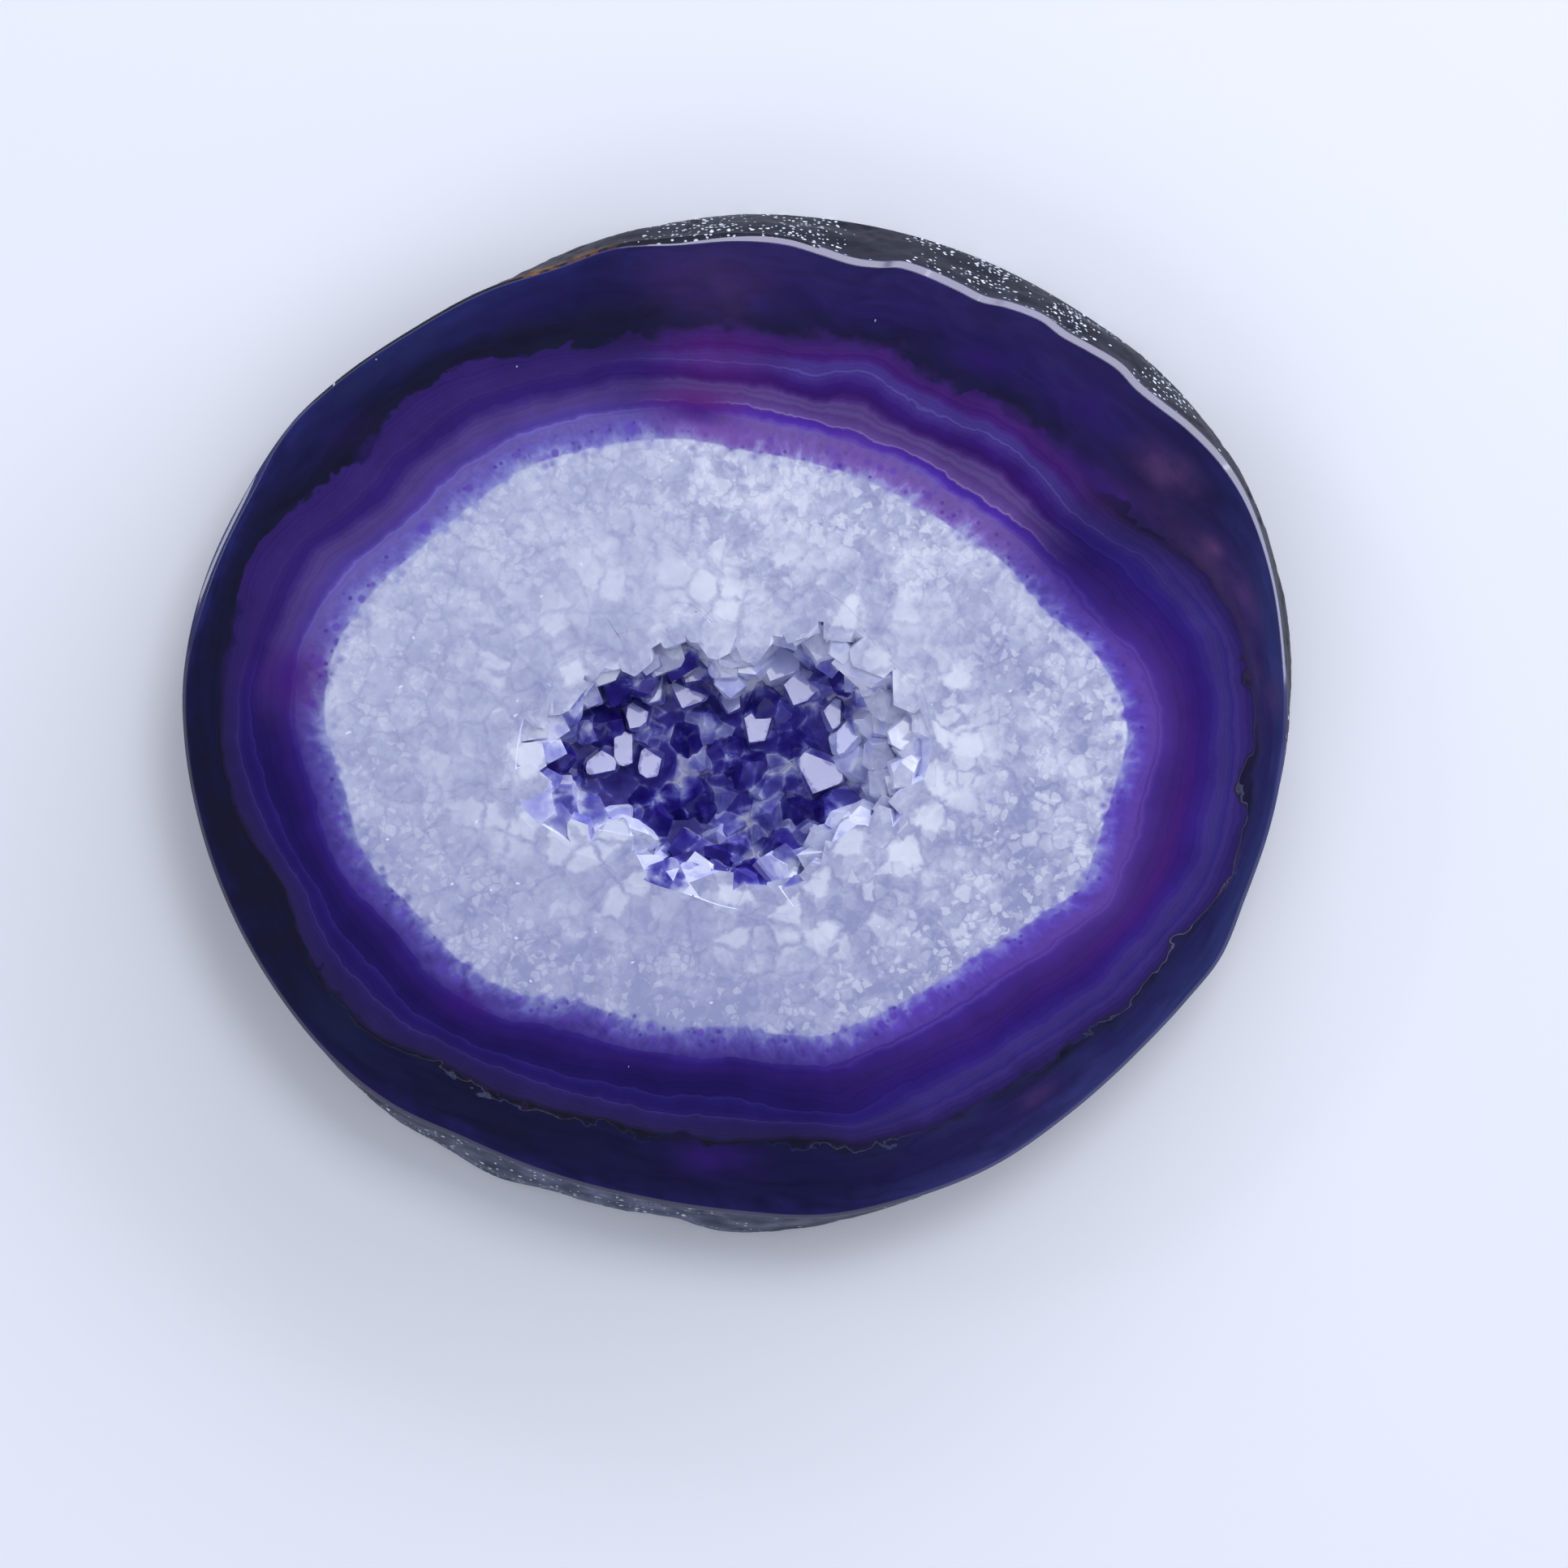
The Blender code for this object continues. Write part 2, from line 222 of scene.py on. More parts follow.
# %% Rings of the polished face
MOUTH_CRYSTAL = 2.6
MOUTH_STEP = 1.1
mouth_jag = crystal_steps(2 * math.pi * MOUTH.mean(), MOUTH_CRYSTAL, MOUTH_STEP)
contours = [circle_points(radius, THICKNESS) for radius in (FACE_EDGE, DARK, VIOLET, QUARTZ)]
contours.append(circle_points(MOUTH + mouth_jag, THICKNESS, HOLLOW_MIDDLE))
FACE_LEVELS = (
    0.0, 0.08, 0.16, 0.27, 0.38, 0.5, 0.62, 0.75, 0.87, 1.0, 1.12, 1.25, 1.37, 1.5, 1.62, 1.75, 1.87,
    2.0, 2.25, 2.5, 2.75, 3.0, 3.12, 3.25, 3.4, 3.55, 3.7, 3.85, 3.97, 4.0,
)
face_rings = rings_between(contours, FACE_LEVELS)
print("polished face:", len(face_rings), "rings, mouth steps", round(np.ptp(mouth_jag), 2), "mm")

# %% Rings of the rind
BEVEL_DROP = 0.75
WALL_TOP = THICKNESS - BEVEL_DROP
WALL_WAVE = 0.16
WALL_FULLNESS = 0.35
WALL_HEIGHTS = (
    0.55, 0.85, 1.3, 1.9, 2.5, 3.1, 3.7, 4.3, 4.9, 5.5, 6.1, 6.7, 7.3, 7.9, 8.5, 9.1, 9.7, 10.3, 10.8,
)
# The eased edge of the back: how far in and how far up
BACK_EASE = ((0.7, 0.0), (0.42, 0.07), (0.16, 0.26))
# Lumps and grains of the rind: size in mm, a seed of its own, height in mm
RELIEF = ((2.6, 5.1, 0.10), (0.9, 9.7, 0.05))
RELIEF_MIDDLE = 0.10
RELIEF_LIMIT = 0.3
PIT_SIZE, PIT_SEED, PIT_RARITY, PIT_DEPTH = 1.5, 31.4, 0.32, 0.7
SMOOTH_UNDER_EDGE = 1.2


def rough(points, scale, seed, octaves=3):
    """Smooth random heights from about -1 to 1 at some points; scale is the size of a lump."""
    return np.array([noise.fractal(Vector(p / scale + seed), 1.0, 2.0, octaves) for p in points])


def wall_radius(height):
    """Outside of the rind at a height, as in the plain model."""
    low = outline_at(BACK_OUTLINE, DEGREES) - CHORD_DEPTH
    share = height / WALL_TOP
    wave = np.sin(7 * TURN + 0.5 * height) + 0.7 * np.sin(13 * TURN - 0.8 * height + 1.3)
    wave = WALL_WAVE * wave * math.sin(math.pi * height / THICKNESS)
    return low + (RIM - low) * share + WALL_FULLNESS * math.sin(math.pi * share) + wave


wall_rings = [circle_points(wall_radius(0.0) - inset, height) for inset, height in BACK_EASE]
for height in WALL_HEIGHTS:
    ring = circle_points(wall_radius(height), height)
    depth = RELIEF_MIDDLE
    for size, seed, relief in RELIEF:
        depth = depth + relief * rough(ring, size, seed)
    pits = np.clip(rough(ring, PIT_SIZE, PIT_SEED, 1) - PIT_RARITY, 0.0, 0.4)
    depth = np.clip(depth, 0.0, RELIEF_LIMIT) + PIT_DEPTH * pits
    depth *= min(1.0, (WALL_TOP - height) / SMOOTH_UNDER_EDGE)
    ring[:, 0] -= depth * np.cos(TURN)
    ring[:, 1] -= depth * np.sin(TURN)
    wall_rings.append(ring)
print("rind:", len(wall_rings), "rings, pits of the last ring up to", round(depth.max(), 2), "mm deep")

# %% Rings of the polished edge
ROUNDING = 0.07
# How far the polished edge drops: it is as steep as the window's mirror angle asks where it shines
EDGE_DROP = (
    (0, 0.3), (16, 0.3), (22, 0.45), (28, 0.62), (34, 0.7), (84, 0.74), (97, 0.74), (106, 0.6),
    (130, 0.6), (146, 0.52), (151, 0.52), (167, 0.52), (172, 0.5), (230, 0.6), (330, 0.5),
)
# Where the wheel rounded the edge in two steps, so that only the upper one shines
EDGE_SAG = ((0, 0.0), (147, 0.0), (151, 0.06), (167, 0.06), (171, 0.0), (300, 0.0))
# Share of the edge that the polishing wheel left to the rind
BARE_EDGE = (
    (0, 0.0), (80, 0.0), (85, 0.2), (91, 0.5), (97, 0.75), (101, 1.0), (140, 1.0), (146, 0.0), (300, 0.0),
)


def rounded_corner(before, corner, after, steps=3):
    """Points on a small curve that takes the sharpness off a corner."""
    result = []
    for step in range(steps + 1):
        t = step / steps
        result.append((1 - t) ** 2 * before + 2 * t * (1 - t) * corner + t**2 * after)
    return result


def short_step(start, end):
    """A step from one ring towards another, as long as the rounding of a corner."""
    step = end - start
    return step * ROUNDING / np.linalg.norm(step, axis=1)[:, None]


edge_sag = np.interp(DEGREES, *zip(*EDGE_SAG))
bare_edge = np.interp(DEGREES, *zip(*BARE_EDGE))
edge_low = circle_points(RIM, THICKNESS - outline_at(EDGE_DROP, DEGREES))
edge_high = circle_points(FACE_EDGE, THICKNESS)
down = short_step(edge_low, wall_rings[-1])
slope = short_step(edge_low, edge_high)
# One ring more crosses the edge, higher where the edge is bare or rounded
part_up = np.clip(bare_edge + 8.0 * edge_sag, 0.3, 0.75)[:, None]
halfway = edge_low + part_up * (edge_high - edge_low)
halfway[:, 2] -= edge_sag
bevel_rings = rounded_corner(edge_low + down, edge_low, edge_low + slope)
# Two rings close to each rounded corner keep the polished edge between them flat to the light
bevel_rings += [edge_low + 1.8 * slope, halfway, edge_high - 1.8 * slope]
bevel_rings += rounded_corner(edge_high - slope, edge_high, circle_points(FACE_EDGE - ROUNDING, THICKNESS))
bevel_rings.append(circle_points(FACE_EDGE - 2.2 * ROUNDING, THICKNESS))
print("polished edge:", len(bevel_rings), "rings, corners rounded by", ROUNDING, "mm")

# %% Rings of the pit and of the back
PIT_RISES = (0.97, 0.9, 0.82, 0.72, 0.62, 0.5, 0.38, 0.28, 0.2, 0.12, 0.05, 0.02)
pit_rings = []
for rise in PIT_RISES:
    # The steps of the mouth fade out towards the floor
    radius = np.interp(rise, HOLLOW_RISES, HOLLOW_SHARES) * MOUTH + mouth_jag * (0.2 + 0.8 * rise)
    pit_rings.append(circle_points(radius, STONE_UNDER_HOLLOW + rise * HOLLOW_DEPTH, HOLLOW_MIDDLE))
for share in (1.0, 0.66, 0.33):
    radius = share * HOLLOW_SHARES[0] * MOUTH
    pit_rings.append(circle_points(radius, STONE_UNDER_HOLLOW, HOLLOW_MIDDLE))

BACK_LEVELS = (0.0, 0.12, 0.35, 0.65, 1.0, 1.3, 1.6, 2.0, 2.5, 3.0, 3.5, 4.0)
back_contours = [circle_points(wall_radius(0.0) - BACK_EASE[0][0] - 0.05, 0.0)]
back_contours += [contour * np.array((1.0, 1.0, 0.0)) for contour in contours[1:]]
back_rings = rings_between(back_contours, BACK_LEVELS)
print("pit:", len(pit_rings), "rings, back:", len(back_rings), "rings")

# %% [markdown]
# ## Joining the rings
# All rings go into one mesh, from the middle of the back, out over the rind, across the polished
# face and down into the pit. Numbers stored on the points, called attributes, go along with them:
# growth, and a ribbon place, in which noise for the bands is drawn as if they were rolled out flat.

# %% Rows of points with their growth
FACE, RIND, BED = 0, 1, 2
BARE_RINGS = 5
LAST_LEVEL = 4.0
BACK_MIDDLE_LEVEL = 4.5
RIBBON_RADIUS = 45.0
RIBBON_STRETCH = 10.0

rows = [(ring, level, FACE) for ring, level in zip(reversed(back_rings), reversed(BACK_LEVELS))]
rows += [(ring, 0.0, RIND) for ring in wall_rings]
for index, ring in enumerate(bevel_rings):
    rows.append((ring, 0.0, np.where((bare_edge > 0.0) & (index < BARE_RINGS), RIND, FACE)))
rows += [(ring, level, FACE) for ring, level in zip(face_rings[1:], FACE_LEVELS[1:])]
rows += [(ring, LAST_LEVEL, BED) for ring in pit_rings]
middles = [np.array([(*HOLLOW_MIDDLE, height)]) for height in (0.0, STONE_UNDER_HOLLOW)]
points = np.concatenate([middles[0]] + [ring for ring, level, kind in rows] + [middles[1]])
growth = [np.full(AROUND, level) for ring, level, kind in rows]
growth = np.concatenate([[BACK_MIDDLE_LEVEL]] + growth + [[LAST_LEVEL]])
ribbon = np.zeros((len(points), 3))
ribbon[1:-1, 0] = np.tile(RIBBON_RADIUS * np.cos(TURN), len(rows))
ribbon[1:-1, 1] = np.tile(RIBBON_RADIUS * np.sin(TURN), len(rows))
ribbon[:, 2] = RIBBON_STRETCH * growth
print(len(rows), "rows,", len(points), "points")

# %% Helpers that make a mesh


def ring_faces(ring_count, around, first, low_middle, high_middle):
    """Faces that join a stack of rings, with a fan of triangles to a middle point at each end."""
    pairs = [(index, (index + 1) % around) for index in range(around)]
    last = first + (ring_count - 1) * around
    faces = [(low_middle, first + b, first + a) for a, b in pairs]
    for low in range(first, last, around):
        high = low + around
        faces += [(low + a, low + b, high + b, high + a) for a, b in pairs]
    return faces + [(last + a, last + b, high_middle) for a, b in pairs]


def mesh_object(name, corners, faces):
    """A mesh object in the scene, from corners in mm."""
    mesh = bpy.data.meshes.new(name)
    mesh.from_pydata([tuple(corner) for corner in np.asarray(corners) * MM], [], faces)
    piece = bpy.data.objects.new(name, mesh)
    bpy.context.scene.collection.objects.link(piece)
    return piece


def store(mesh, name, values, kind="FLOAT", domain="POINT"):
    """Keep numbers on a mesh as an attribute, one for each point or face, or three for a vector."""
    field = "vector" if kind == "FLOAT_VECTOR" else "value"
    mesh.attributes.new(name, kind, domain).data.foreach_set(field, np.ravel(values))


stone_faces = ring_faces(len(rows), AROUND, 1, 0, len(points) - 1)
print(len(stone_faces), "faces join the rows")

# %% Build the stone
SHARP_CORNER = 50.0
agate_slice = mesh_object("agate_slice", points, stone_faces)
slab_mesh = agate_slice.data
kinds = [np.broadcast_to(kind, AROUND) for ring, level, kind in rows]
kinds = [kinds[0]] + [np.maximum(low, high) for low, high in zip(kinds, kinds[1:])] + [kinds[-1]]
slab_mesh.polygons.foreach_set("material_index", np.concatenate(kinds).astype(np.int32))
slab_mesh.shade_smooth()
slab_mesh.set_sharp_from_angle(angle=math.radians(SHARP_CORNER))
store(slab_mesh, "growth", growth)
store(slab_mesh, "ribbon", ribbon, "FLOAT_VECTOR")
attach(agate_slice, "root")
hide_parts("agate_slab")
print("stone:", sum(len(face.vertices) - 2 for face in slab_mesh.polygons), "triangles")

# %% [markdown]
# ## Colours and the node helper
# Dye reaches each layer of agate differently, so the colours come in families: near black in the
# dense outer zone, indigo, plum and heather in the bands, lilac at the edge of the quartz. They are
# written as hex values and turned to linear light in one place, because shaders do their sums in
# linear light. One helper adds any node, so that a material reads as a recipe, and a few more put
# together what several recipes share. We could use image textures, but recipes stay sharp close up.

# %% Colour and the node helper
COLOUR = {"data_type": "RGBA"}
SHADE = {"data_type": "RGBA", "blend_type": "MULTIPLY"}
SOFT = {"interpolation_type": "SMOOTHSTEP"}
PLUS = {"operation": "ADD"}
MINUS = {"operation": "SUBTRACT"}
TIMES = {"operation": "MULTIPLY"}
TIMES_PLUS = {"operation": "MULTIPLY_ADD"}
SCALED = {"operation": "SCALE"}
ABOVE = {"operation": "GREATER_THAN"}


def linear(colour):
    """An sRGB hex value as linear light, with full alpha."""
    parts = [int(colour[index:index + 2], 16) / 255.0 for index in (1, 3, 5)]
    parts = [p / 12.92 if p <= 0.04045 else ((p + 0.055) / 1.055) ** 2.4 for p in parts]
    return (*parts, 1.0)


def set_inputs(tree, node, inputs):
    """Set a node's inputs, by name or as a list in order, such as value, from min, from max.

    Each takes a value, a socket, or another node's first output.
    """
    sockets = [socket for socket in node.inputs if socket.enabled]
    if isinstance(inputs, dict):
        sockets = [next(socket for socket in sockets if socket.name == name) for name in inputs]
        inputs = inputs.values()
    for socket, value in zip(sockets, inputs):
        if isinstance(value, bpy.types.Node):
            value = next(output for output in value.outputs if output.enabled)
        if isinstance(value, bpy.types.NodeSocket):
            tree.links.new(value, socket)
        else:
            socket.default_value = value


def add(tree, kind, settings={}, inputs=(), stops=()):
    """Add a node with its settings and inputs, and the stops of its ramp if it has one."""
    node = tree.nodes.new("ShaderNode" + kind)
    for name, value in settings.items():
        setattr(node, name, value)
    set_inputs(tree, node, inputs)
    if stops:
        ramp = node.color_ramp.elements
        while len(ramp) < len(stops):
            ramp.new(1.0)
        for element, stop in zip(ramp, stops):
            element.position = stop[0]
        for element, stop in zip(ramp, stops):
            element.color = linear(stop[1])
    return node


def new_material(name):
    """An empty material with its tree and shader, named for what the surface really is."""
    material = bpy.data.materials.new(name)
    material.use_nodes = True
    return material, material.node_tree, material.node_tree.nodes["Principled BSDF"]


print("a mid grey, #808080, is", round(linear("#808080")[0], 3), "in linear light")

# %% What the recipes share


def place_in_mm(tree):
    """Where a spot lies on the piece, in mm, so that patterns move with it."""
    place = add(tree, "TexCoord").outputs["Object"]
    return add(tree, "VectorMath", SCALED, [place, 1 / MM])


def ripple(tree, place, size, details):
    """Noise that swings evenly about zero, with waves of a size in mm."""
    waves = add(tree, "TexNoise", {}, {"Vector": place, "Scale": 1 / size, **details})
    return add(tree, "Math", MINUS, [waves, 0.5])


def dappled(tree, colours, pattern, darkest, lightest):
    """Colours made darker and lighter by a noise pattern."""
    light = add(tree, "MapRange", {}, [pattern, 0.3, 0.7, darkest, lightest])
    return add(tree, "Mix", SHADE, [1.0, colours, light])


def tinted(tree, colours, tint, *shares):
    """Colours with a tint laid over them, as strong as all the shares multiplied."""
    cover = shares[0]
    for share in shares[1:]:
        cover = add(tree, "Math", TIMES, [cover, share])
    return add(tree, "Mix", COLOUR, [cover, colours, linear(tint)])


def scattered(tree, place, size, rim, core, details={}):
    """One round dot in each cell of a size in mm, and a random number for each cell."""
    cells = add(tree, "TexVoronoi", {}, {"Vector": place, "Scale": 1 / size, **details})
    pick = add(tree, "SeparateColor", {}, [cells.outputs["Color"]])
    dot = add(tree, "MapRange", SOFT, [cells.outputs["Distance"], rim, core])
    return pick, dot


print("helpers for places, waves, dapples, tints and dots are ready")

# %% [markdown]
# ## Where the dye took differently
# Dye soaks in unevenly: one side of a slice is often warmer, cracks stay dark, patches stay pale.
# Each such place is a soft mask on the points, given by an angle round the slice and a growth; the mauve
# mask also holds a painted sheen, a soft reflection in the dark zone at the top.
# Masks could be painted by hand, but numbers are easier to move and to try again.

# %% Masks on the points
# Middle and half breadth in degrees, and how softly it ends
SIDES = {"right_side": (335, 45, 14), "top_side": (68, 36, 8), "left_side": (140, 33, 12)}
# Middle and half breadth in degrees, growth and its spread, strength
FACE_SPOTS = {
    # The mauve spot at 93 degrees is a painted sheen, a soft reflection laid into the dark zone; the other
    # mauve spots are dye
    "mauve_dye_and_sheen": (
        (30.4, 3.6, 0.38, 0.16, 0.75), (20.4, 2.4, 0.66, 0.13, 0.7), (13.5, 4.0, 0.55, 0.18, 0.6),
        (3.0, 2.0, 0.3, 0.3, 0.35), (17.0, 14.0, 0.8, 0.3, 0.35), (308.7, 2.2, 0.55, 0.12, 0.45),
        (93.0, 8.0, 0.5, 0.4, 0.3), (344.0, 3.0, 0.85, 0.1, 0.6),
    ),
    "purple_spot": (
        (55.5, 4.0, 0.64, 0.14, 0.8), (43.0, 5.0, 0.45, 0.22, 0.6), (267.0, 5.0, 0.75, 0.25, 0.9),
        (33.0, 8.0, 0.9, 0.14, 0.9), (118.0, 9.0, 0.3, 0.25, 0.3), (144.0, 3.0, 0.75, 0.3, 0.4),
    ),
    "ink_spot": (
        (50.0, 9.0, 0.86, 0.12, 0.7), (66.0, 10.0, 0.9, 0.12, 0.6), (84.0, 9.0, 0.9, 0.11, 0.5),
        (108.0, 12.0, 0.82, 0.16, 0.9), (128.0, 14.0, 0.74, 0.16, 0.8), (146.0, 6.0, 0.9, 0.25, 0.9),
        (163.0, 14.0, 0.6, 0.4, 0.9), (195.0, 24.0, 0.5, 0.6, 1.0), (235.0, 18.0, 0.6, 0.3, 0.7),
        (314.0, 10.0, 0.9, 0.11, 0.85), (338.0, 14.0, 0.91, 0.1, 0.9),
    ),
    "navy_spot": (
        (338.0, 16.0, 0.3, 0.4, 0.5), (8.0, 8.0, 0.2, 0.3, 0.4), (316.0, 2.5, 0.55, 0.2, 0.5),
        (130.0, 16.0, 0.2, 0.25, 0.35), (216.0, 5.0, 0.6, 0.4, 0.3),
    ),
    "rose_spot": (
        (97.0, 7.0, 1.86, 0.14, 1.0), (93.0, 8.0, 1.35, 0.25, 0.45), (174.0, 5.0, 2.4, 0.6, 0.5),
        (340.0, 18.0, 1.62, 0.12, 0.3),
    ),
    "grape_spot": (
        (98.0, 6.0, 2.1, 0.22, 1.0), (174.0, 3.0, 2.0, 0.5, 0.6), (226.0, 3.0, 2.1, 0.3, 0.7),
    ),
    "orchid_spot": (
        (66.0, 7.0, 2.4, 0.5, 0.6), (93.0, 11.0, 2.6, 0.55, 1.0), (336.0, 16.0, 2.1, 0.25, 0.6),
        (2.0, 12.0, 2.1, 0.25, 0.5), (31.0, 8.0, 2.3, 0.3, 0.4),
    ),
    "edge_out": (
        (127.0, 12.0, 1.0, 0.9, 0.8), (157.0, 8.0, 1.0, 0.9, 0.9), (32.0, 5.0, 1.0, 0.9, 0.5),
        (343.5, 2.6, 1.0, 0.9, 1.6), (286.0, 6.0, 1.0, 0.9, 0.3),
    ),
    "edge_in": ((143.5, 3.0, 1.0, 0.9, 1.0), (205.0, 8.0, 1.0, 0.9, 0.5), (354.0, 4.0, 1.0, 0.9, 0.5)),
    "crack_zone": (
        (338.0, 17.0, 1.0, 0.9, 1.0), (236.0, 14.0, 1.0, 0.9, 0.5), (286.0, 8.0, 1.0, 0.9, 0.4),
    ),
}
RIND_SPOTS = {
    "fleck_zone": (
        (38.0, 5.0, 0.0, 0.5, 0.8), (50.0, 4.0, 0.0, 0.5, 1.0), (60.0, 4.0, 0.0, 0.5, 0.9),
        (67.0, 4.0, 0.0, 0.5, 0.7), (82.0, 6.0, 0.0, 0.5, 0.8), (94.0, 8.0, 0.0, 0.5, 1.0),
        (245.0, 30.0, 0.0, 0.5, 0.45), (357.0, 4.0, 0.0, 0.5, 0.6),
    ),
    "stain_zone": ((113.5, 2.6, 0.0, 0.5, 1.0), (108.0, 4.0, 0.0, 0.5, 0.5)),
    "matt_zone": ((255.0, 34.0, 0.0, 0.5, 1.0),),
}


def angle_apart(angles, middle):
    """How far round angles are from a middle, in degrees, the short way."""
    return np.abs((angles - middle + 180.0) % 360.0 - 180.0)


bearing = np.degrees(np.arctan2(points[:, 1], points[:, 0])) % 360.0
for name, (middle, half, fade) in SIDES.items():
    share = np.clip((half + fade - angle_apart(bearing, middle)) / (2 * fade), 0.0, 1.0)
    store(slab_mesh, name, share * share * (3 - 2 * share))
for name, spots in {**FACE_SPOTS, **RIND_SPOTS}.items():
    total = np.zeros(len(points))
    for middle, half, level, spread, strength in spots:
        reach = (angle_apart(bearing, middle) / half) ** 2 + ((growth - level) / spread) ** 2
        total = np.maximum(total, strength * np.exp(-reach))
    store(slab_mesh, name, total)
print("masks:", ", ".join([*SIDES, *FACE_SPOTS, *RIND_SPOTS]))

# %% [markdown]
# ## Polished, dyed agate
# Agate is chalcedony, a quartz too fine to see, laid down in bands. Sawing and polishing with fine
# oxide leave a glassy face, so the roughness is very low and the IOR is that of quartz, 1.54.
# The bands are drawn from growth: a little noise bends it, as real bands waver, and ramps of
# colour turn it into layers. Four sides of the slice have their own order of bands.

# %% Growth, bent by noise
# To the eye: deep, glassy colour in thin layers, with sharp reflections at low angles
agate, tree, shader = new_material("Polished dyed agate")
growth_in = add(tree, "Attribute", {"attribute_name": "growth"}).outputs["Fac"]
ribbon_in = add(tree, "Attribute", {"attribute_name": "ribbon"}).outputs["Vector"]
mask_in = {}
for name in (*SIDES, *FACE_SPOTS):
    mask_in[name] = add(tree, "Attribute", {"attribute_name": name}).outputs["Fac"]
place_mm = place_in_mm(tree)

# Between two contours the bands swing slowly: nowhere on a contour, most halfway between
SWING = 16.0
round_turn = add(tree, "Math", TIMES, [growth_in, math.pi])
half_way = add(tree, "Math", {"operation": "SINE"}, [round_turn])
half_way = add(tree, "Math", {"operation": "POWER"}, [half_way, 2.0])
swing = ripple(tree, ribbon_in, SWING, {"Detail": 1.0})
swing = add(tree, "Math", TIMES, [swing, half_way])
bent = add(tree, "Math", TIMES_PLUS, [swing, 0.5, growth_in])
# Size of a waver in mm, how far it moves a band in growth, and how many finer ones ride on it
WAVERS = ((7.0, 0.06, 1.0), (2.6, 0.045, 1.0), (0.9, 0.022, 2.0))
for size, reach, detail in WAVERS:
    waver = ripple(tree, ribbon_in, size, {"Detail": detail})
    bent = add(tree, "Math", TIMES_PLUS, [waver, 2 * reach, bent])
print("bands swing at", SWING, "mm and waver at", [waver[0] for waver in WAVERS], "mm")

# %% Ramps of bands for four sides
# Growth and colour of each band, from the end of the dark zone to the violet line
BANDS = {
    "low": (
        (0.95, "#15162A"), (1.0, "#17161F"), (1.05, "#251E46"), (1.12, "#282050"), (1.2, "#261D52"),
        (1.27, "#2B225C"), (1.29, "#352B6C"), (1.305, "#241A5A"), (1.4, "#20165A"), (1.47, "#251B62"),
        (1.485, "#2C2468"), (1.5, "#1F1556"), (1.62, "#1D1250"), (1.76, "#231558"), (1.86, "#2A1962"),
        (1.92, "#2B196A"), (2.0, "#352679"),
    ),
    "right_side": (
        (0.95, "#2A1F54"), (1.0, "#2A1F58"), (1.05, "#302262"), (1.10, "#34266A"), (1.15, "#3C2E72"),
        (1.19, "#30246E"), (1.24, "#3A2E72"), (1.3, "#3C2F74"), (1.36, "#372878"), (1.42, "#301F73"),
        (1.5, "#2E1A6E"), (1.6, "#331C6C"), (1.72, "#37216C"), (1.82, "#3B2474"), (1.87, "#3C257C"),
        (1.92, "#402886"), (1.95, "#523E94"), (1.97, "#47308C"), (2.0, "#4E3890"),
    ),
    "top_side": (
        (0.95, "#341C5E"), (1.0, "#3C2066"), (1.05, "#422268"), (1.1, "#3B1B67"), (1.15, "#401F6C"),
        (1.2, "#41307A"), (1.27, "#43347C"), (1.29, "#524690"), (1.305, "#40307A"), (1.36, "#3C2874"),
        (1.42, "#341A6A"), (1.5, "#30145F"), (1.55, "#3A1D64"), (1.59, "#4A3276"), (1.63, "#58447C"),
        (1.66, "#4E3A78"), (1.69, "#5A4880"), (1.74, "#523A7A"), (1.79, "#573F80"), (1.835, "#604A8A"),
        (1.85, "#8470A8"), (1.862, "#4E348C"), (1.88, "#452894"), (1.93, "#4A2C98"), (1.97, "#5E48A0"),
        (2.0, "#6A58AA"),
    ),
    "left_side": (
        (0.95, "#30205F"), (1.05, "#302062"), (1.2, "#342364"), (1.32, "#362566"), (1.42, "#301E66"),
        (1.5, "#321D68"), (1.58, "#3E2C72"), (1.64, "#4A3879"), (1.7, "#4E3D7C"), (1.8, "#4E3E84"),
        (1.88, "#4C3A8C"), (1.93, "#544396"), (1.96, "#6A60AE"), (2.0, "#665AA4"),
    ),
}


def by_side(tree, recipes, value, start, end):
    """Colour ramps for the sides of the slice over a run of growth, blended by the side masks."""
    share = add(tree, "MapRange", {}, [value, start, end])
    ramps = {}
    for side, recipe in recipes.items():
        stops = [((level - start) / (end - start), colour) for level, colour in recipe]
        ramps[side] = add(tree, "ValToRGB", {}, [share], stops)
    blend = ramps.pop("low")
    for side, ramp in ramps.items():
        blend = add(tree, "Mix", COLOUR, [mask_in[side], blend, ramp])
    return blend


bands = by_side(tree, BANDS, bent, 0.95, 2.0)
print("bands on each side:", {side: len(recipe) for side, recipe in BANDS.items()})

# %% Fine lamination and uneven dye
# Real laminae are about 0.1 mm; the ones drawn are 0.2 to 0.5 mm, so that they show
LAMINAE = 3.2
STAIN = 4.5
lamina_at = add(tree, "Math", TIMES, [bent, RIBBON_STRETCH])
laminae = add(tree, "TexNoise", {"noise_dimensions": "1D"}, [lamina_at, LAMINAE, 3.0])
bands = dappled(tree, bands, laminae, 0.91, 1.09)
stain = add(tree, "TexNoise", {}, [place_mm, 1 / STAIN, 4.0, 0.55])
stain_shift = add(tree, "Math", MINUS, [stain, 0.5])
bands = dappled(tree, bands, stain, 0.88, 1.12)
print("about", round(LAMINAE * RIBBON_STRETCH), "laminae between two contours, stains", STAIN, "mm across")

